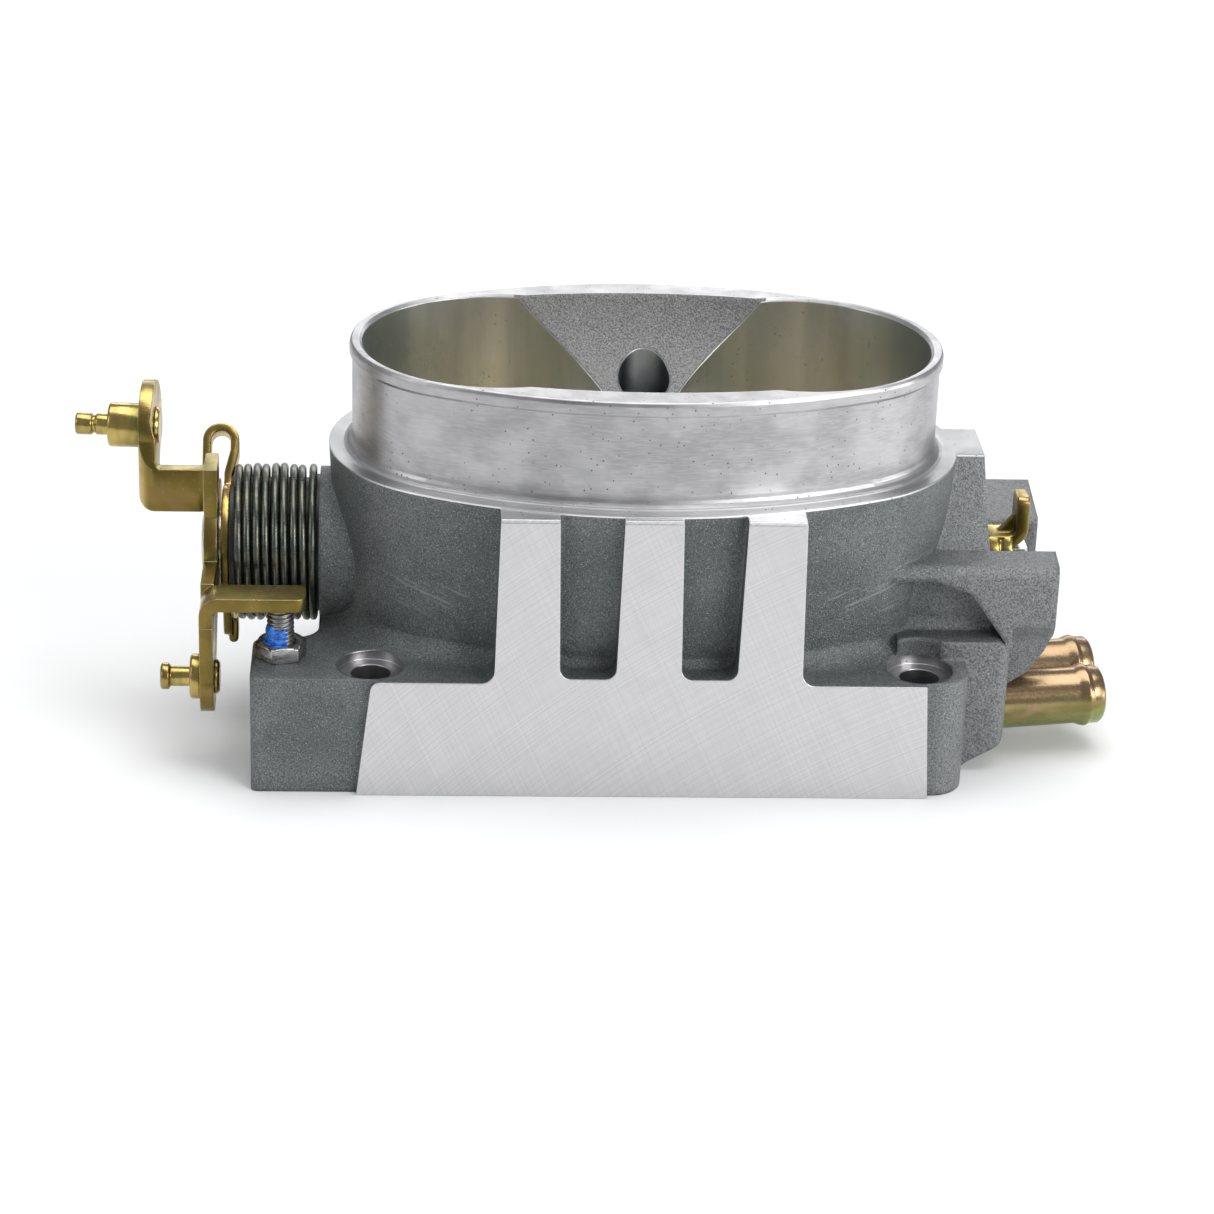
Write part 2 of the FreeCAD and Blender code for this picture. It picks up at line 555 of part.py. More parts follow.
def stop_screw():
    spot = (-d.stop_screw_x, -d.stop_screw_y)
    profile = [(0, 0), (d.stop_screw_top - 5.0, 0), (d.stop_screw_top - 5.0, 1.6),
               (d.stop_screw_top - 6.0, d.stop_screw_radius), (0.8, d.stop_screw_radius), (0, 2.2)]
    keep(turned("stop_screw_body", profile, *spot, 5, V(0, 1, 0), -90.0), "stop_screw")

    flat = d.nut_flat
    corner_radius = flat / math.cos(math.radians(30))
    points = [(corner_radius * math.cos(math.radians(60 * i + d.nut_turn.value)),
               corner_radius * math.sin(math.radians(60 * i + d.nut_turn.value))) for i in range(6)]
    base = d.flange_height
    hexagon = prism("nut_hexagon", "xy", [(size(x) - d.stop_screw_x, size(y) - d.stop_screw_y)
                                          for x, y in points], base, base + d.nut_height)
    crown = cone("nut_crown", base, base + d.nut_height, spot,
                 flat + d.nut_height * 1.75 - 0.2, flat - 0.2)
    seat = cone("nut_seat", base, base + d.nut_height, spot,
                flat + 0.2, flat + d.nut_height * 1.75 + 0.2)
    hole = rod("nut_hole", "z", 20, 40, spot, 3.0)
    mouth = cone("nut_mouth", base + d.nut_height - 0.6, base + d.nut_height + 0.01, spot, 3.0, 3.6)
    keep(cut("nut", common("nut_blank", hexagon, crown, seat), hole, mouth), "stop_screw_locknut")


def nipples():
    """Beaded steel hose tubes pressed into the coolant boss."""
    for label, y in (("hose_nipple_front", -d.front_nipple_y), ("hose_nipple_rear", -d.rear_nipple_y)):
        end = d.nipple_length
        radius = d.nipple_radius
        profile = [(-d.nipple_insert + 0.1, d.nipple_bore), (end - 0.4, d.nipple_bore),
                   (end, d.nipple_bore + 0.4), (end, radius - 0.6), (end - 0.3, radius - 0.1),
                   (end - 0.9, radius + 0.25), (end - 2.9, radius + 0.25),
                   (end - 3.3, d.nipple_bead - 0.25), (end - 3.9, d.nipple_bead),
                   (end - 4.7, d.nipple_bead - 0.2), (end - 6.2, radius),
                   (-d.nipple_insert + 0.1, radius)]
        keep(turned(f"{label}_body", profile, d.coolant_boss_x, y, d.nipple_height,
                    V(0, 0, 1), d.nipple_angle.value), label)


def gallery_plug():
    profile = [(0, 0), (1.2, 0), (1.2, d.plug_radius - 1.0), (2.9, d.plug_radius - 1.0),
               (2.9, d.plug_radius), (0, d.plug_radius)]
    keep(turned("plug_body", profile, d.gallery_x, d.coolant_boss_back - 3.0, d.nipple_height,
                V(0, 0, 1), 90.0), "coolant_gallery_plug")


def rear_cover():
    """Idle-air cover on the back, its gasket and its four screws."""
    face = size(d.front_face)
    seat = face + d.gasket_thickness
    outer = seat + d.cover_thickness
    port = (0, d.valve_port_height)
    corners = [(x, z, 5.0) for x in (-d.cover_half_x, d.cover_half_x)
               for z in (d.cover_low, d.cover_high)]
    outline_points = [(-d.cover_half_x, d.cover_low), (d.cover_half_x, d.cover_low),
                      (d.cover_half_x, d.cover_high), (-d.cover_half_x, d.cover_high)]
    screws = [(x, z) for x in (-d.cover_screw_x, d.cover_screw_x)
              for z in (d.cover_screw_low, d.cover_screw_high)]

    sheet_blank = rounded("gasket_rounded", prism("gasket_blank", "xz", outline_points, face, seat),
                          "y", corners)
    clear = [rod("gasket_screw_hole", "y", 40, 60, spot, 2.3) for spot in screws]
    clear.append(rod("gasket_port_high", "y", 40, 60, (d.idle_hole_x, d.valve_port_height), 6.6))
    clear.append(rod("gasket_port_low", "y", 40, 60, (0, 16), 5.0))
    keep(cut("gasket", sheet_blank, *clear), "idle_air_gasket")

    plate = rounded("cover_rounded", prism("cover_blank", "xz", outline_points, seat, outer),
                    "y", corners)
    boss = rod("cover_boss", "y", seat, outer + 5.0, port, d.valve_port_radius + 4.0)
    channel = rod("cover_channel", "z", 14, d.valve_port_height, (0, outer + 0.2), 5.5)
    blank_cover = fuse("cover_fused", plate, boss, channel)
    trim = box("cover_back_trim", (-30, 30, 0), (30, seat, 70))
    hollow = [trim, rod("cover_port", "y", 40, 60, port, d.valve_port_radius),
              rod("cover_gallery", "z", 14, d.valve_port_height, (0, outer), 3.5),
              rod("cover_gallery_mouth", "y", 40, outer + 0.5, (0, 16), 3.1)]
    hollow += [rod("cover_screw_clear", "y", 40, 60, spot, 2.3) for spot in screws]
    hollow += [rod(f"valve_screw_{side}", "y", outer + 5.0 - 7.0, 60, (x, d.valve_port_height), 1.2)
               for side, x in (("left", -12.0), ("right", 12.0))]
    keep(cut("cover", blank_cover, *hollow), "idle_air_cover")

    turns = [turned(f"cover_screw_{number}", [
        (-8.0, 0), (1.6, 0), (1.6, 1.3), (3.0, 1.5), (3.0, 3.2), (2.4, 3.7), (0, 3.7), (0, 1.95),
        (-8.0, 1.95)], x, outer, z, V(0, 0, 1), 90.0) for number, (x, z) in enumerate(screws)]
    group = doc.addObject("Part::Compound", "cover_screws")
    group.Links = turns
    keep(group, "idle_air_cover_screws")


# ---------------------------------------------------------------- shaft and throttle plates

def shaft_and_plates(flat):
    lean = -d.plate_closed_angle.value
    turn = FreeCAD.Rotation(V(1, 0, 0), lean)
    half = d.plate_thickness / 2.0

    def slab(name, x_low, x_high, low, high, reach):
        thing = doc.addObject("Part::Box", name)
        bind(thing, "Length", size(x_high) - x_low)
        bind(thing, "Width", size(reach) * 2.0)
        bind(thing, "Height", size(high) - low)
        # corner of the box after the turn about the shaft axis
        corner_at = turn.multVec(V(0, -size(reach).value, size(low).value))
        thing.Placement = FreeCAD.Placement(V(0, corner_at.y, 0), turn)
        bind(thing, "Placement.Base.x", x_low)
        bind(thing, "Placement.Base.z", d.shaft_height + corner_at.z)
        return thing

    def screw_rod(name, x, low, high, radius):
        thing = doc.addObject("Part::Cylinder", name)
        bind(thing, "Radius", radius)
        bind(thing, "Height", size(high) - low)
        foot_at = turn.multVec(V(0, 0, size(low).value))
        thing.Placement = FreeCAD.Placement(V(0, foot_at.y, 0), turn)
        bind(thing, "Placement.Base.x", x)
        bind(thing, "Placement.Base.z", d.shaft_height + foot_at.z)
        return thing

    blank_shaft = turned("shaft_turned", [
        (-d.lever_outer - 0.9, 0), (86.5, 0), (86.5, d.shaft_radius - 0.5), (86.0, d.shaft_radius),
        (-d.lever_outer, d.shaft_radius), (-d.lever_outer, 6.3), (-d.lever_outer - 0.5, 6.3),
        (-d.lever_outer - 0.9, 5.6)], 0, *SHAFT)
    reach = d.bore_radius + 4.0
    slots = [flat]
    for side, sign in (("left", -1), ("right", 1)):
        centre = d.bore_half_pitch * sign
        start = centre - d.bore_radius - 0.3
        end = centre + d.bore_radius + 0.3
        slots.append(slab(f"plate_slot_{side}", start, end, -half - 0.02, half + 0.02, reach))
        disc = rod(f"plate_disc_{side}", "z", 10, 70, (centre, 0), d.bore_radius - d.plate_gap)
        flat = slab(f"plate_slab_{side}", start, end, -half, half, reach)
        screw_spots = [centre - d.plate_screw_offset, centre + d.plate_screw_offset]
        drilled = [screw_rod(f"plate_hole_{side}", x, -6, 6, 2.1) for x in screw_spots]
        keep(cut(f"plate_{side}", common(f"plate_blank_{side}", disc, flat), *drilled),
             f"throttle_plate_{side}")
        slots += [screw_rod(f"shaft_screw_hole_{side}", x, -6, 6, 2.1) for x in screw_spots]
        slots += [screw_rod(f"shaft_spotface_{side}", x, 3.6, 6, 3.7) for x in screw_spots]
        screws = []
        for number, x in enumerate(screw_spots):
            shank = screw_rod(f"plate_screw_shank_{side}{number}", x, -5.2, 4.0, 2.0)
            head = screw_rod(f"plate_screw_head_{side}{number}", x, 3.6, 5.6, 3.5)
            recess = screw_rod(f"plate_screw_recess_{side}{number}", x, 4.4, 6, 1.1)
            screws.append(cut(f"plate_screw_{side}{number}",
                              fuse(f"plate_screw_blank_{side}{number}", shank, head), recess))
        group = doc.addObject("Part::Compound", f"plate_screw_group_{side}")
        group.Links = screws
        keep(group, f"plate_screws_{side}")
    keep(cut("shaft", blank_shaft, *slots), "throttle_shaft")


# ---------------------------------------------------------------- levers on the shaft

def bent_strip(name, plane, points, low, high, bends, along):
    strip = prism(name, plane, points, low, high)
    return rounded(f"{name}_bent", strip, along, bends)


def arm_seat():
    """Where the cable arm's inner face meets the stud's axis, and how far the arm leans."""
    run = d.web_front + d.arm_back_y
    drift = d.arm_lean * (d.web_front + d.arm_top_y) / run
    tilt = math.degrees(math.atan2(d.arm_lean.value, run.value))
    return drift - d.arm_inner, 180.0 - tilt


def throttle_lever():
    """Plated steel lever: hub, bent-out cable arm, stop tab and lower arm."""
    thick = d.lever_outer - d.lever_inner
    outer, inner = -d.lever_outer, -d.lever_inner
    hub = rod("lever_hub", "x", outer, inner, SHAFT, d.lever_hub_radius)
    neck_up = prism("lever_neck_up", "yz", [
        (-d.web_front, d.web_low - 2.0), (6, d.web_low - 4.0), (-5.5, d.web_high),
        (-d.web_front, d.web_high)], outer, inner)
    lower = prism("lever_lower", "yz", [
        (-d.foot_y - 7.3, d.foot_z), (-d.foot_y + 7.3, d.foot_z), (-13.0, 31.0), (-2, 28),
        (-2, 50), (-9.8, 50), (-12.5, d.tab_high), (-d.tab_front, d.tab_high)], outer, inner)
    lower = rounded("lever_lower_rounded", lower, "x", [(-13.0, 31.0, 8.0), (-12.5, d.tab_high, 2.5)])
    foot = rod("lever_foot", "x", outer, inner, (-d.foot_y, d.foot_z), d.foot_radius)

    # Z-shaped strip seen from above: lever plate, web across, outer arm
    front = -d.web_front
    strip = bent_strip("cable_strip", "xy", [
        (inner, front), (inner, 0), (outer, 0), (outer, front + thick), (-d.arm_inner, front + thick),
        (d.arm_lean - d.arm_inner, d.arm_back_y), (d.arm_lean - d.arm_outer, d.arm_back_y),
        (-d.arm_outer, front)],
        d.web_low, d.arm_top_z + d.arm_end_radius, [
            (inner, front, 4.2), (outer, front + thick, 1.3), (-d.arm_inner, front + thick, 1.3),
            (-d.arm_outer, front, 4.0)], "z")
    notch = d.arm_lean - d.arm_inner
    plan = prism("cable_plan", "xz", [
        (inner, d.web_low), (inner, d.web_high), (notch, d.web_high), (notch, 80),
        (-d.arm_outer, 80), (-d.arm_outer, d.web_low)], -12, 15)
    plan = rounded("cable_plan_rounded", plan, "y", [(-d.arm_outer, d.web_low, 3.4),
                                                     (notch, d.web_high, 1.3)])
    eye = rod("cable_eye", "x", -115, -90, (d.arm_top_y, d.arm_top_z), d.arm_end_radius)
    lean = prism("cable_side", "yz", [
        (-d.web_front, d.web_low), (6, d.web_low), (d.arm_top_y + d.arm_end_radius, d.arm_top_z),
        (d.arm_top_y - d.arm_end_radius, d.arm_top_z), (-d.web_front, d.web_high)], -115, -90)
    arm = common("cable_arm", strip, plan, fuse("cable_outline", eye, lean))

    # stop tab: strip bent from the lower arm across to the stop screw
    tab = prism("stop_tab", "xz", [
        (outer, d.tab_low - 8.0), (inner, d.tab_low - 8.0), (inner, d.tab_low),
        (-d.tab_right, d.tab_low), (-d.tab_right, d.tab_high), (outer, d.tab_high)],
        -d.tab_front, -d.tab_back)
    tab = rounded("stop_tab_bent", tab, "y", [(inner, d.tab_low, 1.3), (outer, d.tab_high, 4.2)])
    tab = rounded("stop_tab_rounded", tab, "z", [
        (-d.tab_right, -d.tab_front, 2.0), (-d.tab_right, -d.tab_back, 2.0)])
    plate = fuse("lever_plate", hub, neck_up, lower, foot)
    bend_room = box("stop_tab_room", (-100, -40, d.tab_low - 4.0), (-90, -d.tab_back + 0.01, 45))
    plate = cut("lever_plate_relieved", plate, bend_room)
    blank_lever = fuse("lever_blank", plate, arm, tab)
    seat, turn = arm_seat()
    eye_hole = turned("lever_eye_hole", [(-2, 0), (6, 0), (6, 3.0), (-2, 3.0)],
                      seat, d.arm_top_y, d.arm_top_z, V(0, 0, 1), turn)
    keep(cut("lever", blank_lever, eye_hole,
             rod("lever_shaft_hole", "x", -100, -90, SHAFT, d.shaft_radius),
             rod("lever_foot_hole", "x", -100, -90, (-d.foot_y, d.foot_z), 2.6)), "throttle_lever")


def cable_studs():
    """Turned studs riveted through the two lever arms for the cable ends."""
    grip = d.arm_outer - d.arm_inner
    upper = [(-0.9, 0), (-0.9, 3.9), (0, 4.3), (0, 3.0), (grip, 3.0), (grip, 4.85), (9.9, 4.85),
             (10.3, 4.5), (10.3, 2.35), (13.0, 2.35), (13.3, 1.95), (13.8, 1.95), (14.1, 2.4),
             (17.3, 2.4), (17.6, 2.1), (17.6, 0)]
    seat, turn = arm_seat()
    keep(turned("stud_upper", upper, seat, d.arm_top_y, d.arm_top_z, V(0, 0, 1), turn),
         "cable_stud_upper")
    lower = [(0, 0), (0, 3.2), (0.5, 3.7), (1.1, 3.7), (1.1, 2.6), (4.2, 2.6), (4.2, 4.9),
             (6.0, 4.9), (6.4, 4.5), (6.4, 2.2), (10.6, 2.2), (11.0, 2.9), (12.4, 2.9),
             (12.8, 2.5), (12.8, 0)]
    keep(turned("stud_lower", lower, -d.lever_inner + 1.1, -d.foot_y, d.foot_z,
                V(0, 0, 1), 180.0), "cable_stud_lower")


def hook_lever():
    """Thin inner plate: a leaning tongue with an open loop, spring catch at its back and foot."""
    outer, inner = -d.hook_outer, -d.hook_inner
    half = d.hook_half_width
    thick = d.hook_outer - d.hook_inner
    bend = d.hook_loop_radius
    leg = inner + d.hook_step
    middle = leg - bend
    top = d.hook_loop_height
    strip = prism("hook_strip", "xz", [
        (outer, 45), (inner, 45), (inner, 55), (leg, 60.2), (leg, top), (leg - thick, top),
        (leg - thick, 60.8), (outer, 55.6)], -half, half)
    loop = cut("hook_loop", rod("hook_loop_outer", "y", -half, half, (middle, top), bend),
               rod("hook_loop_inner", "y", -4, 4, (middle, top), bend - thick),
               box("hook_loop_open", (-100, -4, 40), (-80, 4, top)))
    tail = box("hook_tail", (middle - bend, -half, 55), (middle - bend + thick, half, top))
    tongue = fuse("hook_tongue", strip, loop, tail)
    # swing the tongue back about the shaft
    swing = FreeCAD.Rotation(V(1, 0, 0), -d.hook_lean.value)
    centre = V(0, 0, d.shaft_height.value)
    tongue.Placement = FreeCAD.Placement(centre - swing.multVec(centre), swing)

    foot = 18.3
    disc = rod("hook_disc", "x", outer, inner, SHAFT, 12.6)
    down = prism("hook_down", "yz", [(-8, 34), (-3.4, foot), (3.4, foot), (8, 34)], outer, inner)
    down = rounded("hook_down_rounded", down, "x", [(-3.4, foot, 3.0), (3.4, foot, 3.0)])
    back = prism("hook_back", "yz", [(4, 32), (16.5, 20.5), (19.5, 20.5), (19.5, 28), (11, 38)],
                 outer, inner)
    catch = box("spring_catch", (outer, 17.6, 20.5), (leg, 19.5, 27.5))
    toe_low, toe_high = 16.6, 22.4
    toe_left, toe_right = -91.4, -89.3
    toe = prism("hook_toe", "xz", [(toe_left, toe_low), (toe_right, toe_low),
                                   (toe_right, toe_high), (toe_left, toe_high)], -half, half)
    toe = rounded("hook_toe_rounded", toe, "y", [(toe_left, toe_low, 1.0),
                                                 (toe_right, toe_low, 1.0)])
    keep(cut("hook_lever", fuse("hook_blank", tongue, disc, down, back, catch, toe),
             rod("hook_shaft_hole", "x", -100, -80, SHAFT, d.shaft_radius)), "spring_hook_lever")
    keep(turned("spacer", ring(-d.lever_inner, -d.hook_outer, d.shaft_radius, d.spacer_radius),
                0, *SHAFT), "lever_spacer")


def sensor_drive():
    """Bent tang and its clamp collar, which turn the position sensor."""
    foot_low = d.shaft_height + 2.0
    foot_top = d.shaft_height + 4.6
    strip = prism("tang_strip", "xz", [
        (77.6, foot_low), (d.tang_outer, foot_low), (d.tang_outer, d.tang_top),
        (d.tang_inner, d.tang_top), (d.tang_inner, foot_top), (77.6, foot_top)],
        -d.tang_half_width, d.tang_half_width)
    strip = rounded("tang_bent", strip, "y", [(d.tang_outer, foot_low, 4.2),
                                              (d.tang_inner, foot_top, 1.4)])
    rib = prism("tang_rib", "xz", [(79.5, foot_top - 0.5), (84.2, foot_top - 0.5), (84.2, 50)],
                -1.0, 1.0)
    blank_tang = fuse("tang_blank", rounded("tang_rounded", strip, "x", [
        (-d.tang_half_width, d.tang_top, 1.6), (d.tang_half_width, d.tang_top, 1.6)]), rib)
    keep(blank_tang, "sensor_drive_lever")
    ring_blank = turned("collar_turned", [
        (77.0, d.shaft_radius), (83.0, d.shaft_radius), (83.0, d.collar_radius - 0.4),
        (82.6, d.collar_radius), (81.0, d.collar_radius), (80.6, d.collar_radius - 0.5),
        (80.1, d.collar_radius - 0.5), (79.7, d.collar_radius), (77.4, d.collar_radius),
        (77.0, d.collar_radius - 0.4)], 0, *SHAFT)
    notch = box("collar_notch", (76, -d.tang_half_width - 0.02, foot_low),
                (84, d.tang_half_width + 0.02, 60))
    keep(cut("collar", ring_blank, notch), "sensor_drive_collar")
    return box("shaft_flat", (76.9, -10, foot_low), (90, 10, 60))


def return_spring():
    """Torsion spring: a round-wire helix about the shaft with a tangent leg at each end."""
    radius = d.spring_mean_radius.value
    wire = d.spring_wire_radius.value
    length = (d.spring_left - d.spring_right).value
    pitch = length / d.spring_turns.value
    rise = pitch / (2 * math.pi * radius)
    # local frame: the helix climbs its own Z, and its whole turns start and end at +X
    along = V(0, 1, rise)
    along.normalize()
    start = V(radius, 0, 0)
    finish = V(radius, 0, length)
    first = start - along * d.spring_hook_leg.value
    last = finish + along * d.spring_body_leg.value
    coil = Part.makeHelix(pitch, length, radius)
    path = Part.Wire([Part.makeLine(first, start)] + coil.Edges + [Part.makeLine(finish, last)])
    section = Part.Wire(Part.makeCircle(wire, first, along))
    thing = doc.addObject("Part::Feature", "spring")
    thing.Shape = path.makePipeShell([section], True, False)
    # helix axis along world +X, with both wire ends at the back of the coil
    thing.Placement = FreeCAD.Placement(
        V(-d.spring_left.value, 0, d.shaft_height.value),
        FreeCAD.Rotation(V(0, 1, 0), 90) * FreeCAD.Rotation(V(0, 0, 1), 90))
    keep(thing, "return_spring")


doc.recompute()

bearings()
spring_guides()
stop_screw()
nipples()
gallery_plug()
rear_cover()
shaft_and_plates(sensor_drive())
throttle_lever()
cable_studs()
hook_lever()
return_spring()
doc.recompute()

failed = [thing.Name for thing in doc.Objects if {"Invalid", "Error"} & set(thing.State)]
if failed:
    raise RuntimeError(f"failed objects: {failed}")
for part in parts:
    shape = part.Shape
    if shape.isNull() or not shape.isValid():
        raise RuntimeError(f"{part.Label} has no valid shape")
    print(f"{part.Label:26s} {len(shape.Solids)} solid(s) {shape.Volume:10.1f} mm3")
    shape.exportStep(f"parts/{part.Label}.step")
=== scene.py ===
import json
import math

import bmesh
import bpy
import numpy as np
from mathutils import Matrix, Vector, noise
from mathutils.bvhtree import BVHTree


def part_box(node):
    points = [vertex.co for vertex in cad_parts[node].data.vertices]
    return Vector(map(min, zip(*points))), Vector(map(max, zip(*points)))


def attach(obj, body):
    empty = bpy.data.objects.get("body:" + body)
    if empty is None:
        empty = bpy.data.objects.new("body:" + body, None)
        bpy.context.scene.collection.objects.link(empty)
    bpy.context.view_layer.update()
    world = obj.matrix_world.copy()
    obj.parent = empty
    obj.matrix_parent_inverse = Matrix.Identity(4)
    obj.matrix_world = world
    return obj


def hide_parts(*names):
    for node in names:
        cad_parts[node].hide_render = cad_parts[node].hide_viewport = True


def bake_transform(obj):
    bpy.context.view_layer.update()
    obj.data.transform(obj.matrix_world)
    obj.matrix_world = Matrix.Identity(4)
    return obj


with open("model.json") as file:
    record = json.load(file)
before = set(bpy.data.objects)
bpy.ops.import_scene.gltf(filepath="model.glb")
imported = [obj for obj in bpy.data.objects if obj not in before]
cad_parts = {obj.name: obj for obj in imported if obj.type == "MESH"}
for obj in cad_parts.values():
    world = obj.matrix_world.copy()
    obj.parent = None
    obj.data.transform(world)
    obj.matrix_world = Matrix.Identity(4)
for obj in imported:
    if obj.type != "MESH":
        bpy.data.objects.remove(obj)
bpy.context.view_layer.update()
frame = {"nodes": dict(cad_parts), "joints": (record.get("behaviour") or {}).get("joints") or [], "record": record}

MM = 0.001
BODY = "throttle_body"
SHAFT_Z = frame["joints"][0]["pos_m"][2]

# where the casting's machined faces lie, a hair past the faces themselves, for its material
BORE_HALF_PITCH = 33 * MM
BORE_EDGE = 29.07 * MM
PAD_FACE_Y = -43.8 * MM
RIB_CHAMFER_Y = -43.1 * MM
RIB_CHAMFER_Z = 62.9 * MM
LEDGE_Z = 64.6 * MM
NECK_TOP_Z = 88.72 * MM
SADDLE_HALF_X = 28.4 * MM
SADDLE_HALF_Y = 31.7 * MM
IDLE_X = 0.8 * MM
IDLE_Y = 19 * MM
IDLE_EDGE = 5.85 * MM
BOLT_X = 59.4 * MM
BOLT_Y = 34.8 * MM
SPOT_FACE_EDGE = 7.25 * MM
REAR_FACE_Y = 43.9 * MM
EAR_FACE_X = 91.17 * MM
EAR_FACE_SLOPE = 0.0562
CUTTER_X = 0.16
CUTTER_Z = -0.21

# edges sharper than this many degrees are rounded
SHARP_EDGE = 32.0


# ---------------------------------------------------------------- shader helpers

class Graph:
    """A node material built by expressions; lengths are metres in the part's own frame."""

    def __init__(self, name):
        self.material = bpy.data.materials.new(name)
        self.material.use_nodes = True
        self.tree = self.material.node_tree
        self.tree.nodes.clear()
        self.output = self.tree.nodes.new("ShaderNodeOutputMaterial")
        self.shader = self.tree.nodes.new("ShaderNodeBsdfPrincipled")
        self.tree.links.new(self.shader.outputs["BSDF"], self.output.inputs["Surface"])
        self.place = self.node("ShaderNodeTexCoord").outputs["Object"]
        self.facing = self.node("ShaderNodeNewGeometry").outputs["Normal"]

    def node(self, kind, **settings):
        made = self.tree.nodes.new(kind)
        for key, value in settings.items():
            setattr(made, key, value)
        return made

    def feed(self, socket, value):
        if isinstance(value, bpy.types.NodeSocket):
            self.tree.links.new(value, socket)
        elif value is not None:
            socket.default_value = value

    def math(self, operation, first, second=None, third=None):
        made = self.node("ShaderNodeMath", operation=operation)
        for socket, value in zip(made.inputs, (first, second, third)):
            self.feed(socket, value)
        return made.outputs[0]

    def vector(self, operation, first, second=None, output=0):
        made = self.node("ShaderNodeVectorMath", operation=operation)
        for socket, value in zip(made.inputs, (first, second)):
            self.feed(socket, value)
        return made.outputs[output]

    def split(self, vector):
        return self.node_with("ShaderNodeSeparateXYZ", vector).outputs[:]

    def node_with(self, kind, value):
        made = self.node(kind)
        self.feed(made.inputs[0], value)
        return made

    def join(self, x, y, z):
        made = self.node("ShaderNodeCombineXYZ")
        for socket, value in zip(made.inputs, (x, y, z)):
            self.feed(socket, value)
        return made.outputs[0]

    def ramp(self, value, low, high, start=0.0, end=1.0):
        """Smooth step of value from low to high, giving start to end."""
        made = self.node("ShaderNodeMapRange", interpolation_type="SMOOTHSTEP")
        for socket, amount in zip(made.inputs, (value, low, high, start, end)):
            self.feed(socket, amount)
        return made.outputs[0]

    def above(self, value, limit, soft=0.04 * MM):
        return self.ramp(value, limit - soft, limit + soft)

    def below(self, value, limit, soft=0.04 * MM):
        return self.ramp(value, limit - soft, limit + soft, 1.0, 0.0)

    def both(self, *masks):
        total = masks[0]
        for mask in masks[1:]:
            total = self.math("MULTIPLY", total, mask)
        return total

    def either(self, *masks):
        total = masks[0]
        for mask in masks[1:]:
            total = self.math("MAXIMUM", total, mask)
        return total

    def invert(self, mask):
        return self.math("SUBTRACT", 1.0, mask)

    def mix(self, factor, first, second):
        """Blend two colours, given as sockets or as (r, g, b)."""
        made = self.node("ShaderNodeMix", data_type="RGBA")
        self.feed(made.inputs["Factor"], factor)
        for name, value in (("A", first), ("B", second)):
            socket = next(s for s in made.inputs if s.name == name and s.type == "RGBA")
            self.feed(socket, value if isinstance(value, bpy.types.NodeSocket) else (*value, 1.0))
        return next(s for s in made.outputs if s.type == "RGBA")

    def blend(self, factor, first, second):
        """Blend two numbers."""
        made = self.node("ShaderNodeMix", data_type="FLOAT")
        self.feed(made.inputs["Factor"], factor)
        for name, value in (("A", first), ("B", second)):
            self.feed(next(s for s in made.inputs if s.name == name and s.type == "VALUE"), value)
        return next(s for s in made.outputs if s.type == "VALUE")

    def grain(self, size, stretch=(1, 1, 1), detail=3.0, rough=0.55, at=None, shift=0.0):
        """Noise from 0 to 1 whose blobs are about size across, longer along stretched axes."""
        scaled = self.vector("MULTIPLY", at or self.place,
                             tuple(1.0 / (size * length) for length in stretch))
        if shift:
            scaled = self.vector("ADD", scaled, (shift, shift * 0.7, -shift))
        made = self.node("ShaderNodeTexNoise")
        self.feed(made.inputs["Vector"], scaled)
        made.inputs["Scale"].default_value = 1.0
        made.inputs["Detail"].default_value = detail
        made.inputs["Roughness"].default_value = rough
        return made.outputs[0]

    def pits(self, size, share):
        """Sparse round dots: 1 in a dot, 0 elsewhere."""
        made = self.node("ShaderNodeTexVoronoi")
        self.feed(made.inputs["Vector"], self.vector("MULTIPLY", self.place, (1.0 / size,) * 3))
        made.inputs["Scale"].default_value = 1.0
        near = self.ramp(made.outputs["Distance"], share * 0.45, share, 1.0, 0.0)
        chosen = self.node_with("ShaderNodeSeparateColor", made.outputs["Color"]).outputs[0]
        return self.both(near, self.above(chosen, 0.62, 0.02))

    def edges(self, radius):
        """Rounded normal for hard edges, and a mask that is 1 along them."""
        made = self.node("ShaderNodeBevel", samples=6)
        made.inputs["Radius"].default_value = radius
        rounded = made.outputs["Normal"]
        agree = self.vector("DOT_PRODUCT", rounded, self.facing, output="Value")
        return rounded, self.ramp(self.invert(agree), 0.01, 0.16)

    def blend_normals(self, factor, first, second):
        made = self.node("ShaderNodeMix", data_type="VECTOR")
        self.feed(made.inputs["Factor"], factor)
        for name, value in (("A", first), ("B", second)):
            self.feed(next(s for s in made.inputs if s.name == name and s.type == "VECTOR"), value)
        mixed = next(s for s in made.outputs if s.type == "VECTOR")
        return self.vector("NORMALIZE", mixed)

    def bump(self, height, distance, normal=None):
        made = self.node("ShaderNodeBump")
        made.inputs["Strength"].default_value = 1.0
        made.inputs["Distance"].default_value = distance
        self.feed(made.inputs["Height"], height)
        if normal is not None:
            self.feed(made.inputs["Normal"], normal)
        return made.outputs[0]

    def finish(self, colour, roughness, metallic, normal=None):
        self.feed(self.shader.inputs["Base Color"], colour)
        self.feed(self.shader.inputs["Roughness"], roughness)
        self.feed(self.shader.inputs["Metallic"], metallic)
        if normal is not None:
            self.feed(self.shader.inputs["Normal"], normal)
        return self.material


# ---------------------------------------------------------------- materials

def grey(level, warm=0.0):
    """Neutral colour, or slightly warm."""
    return (level * (1 + warm), level, level * (1 - warm))


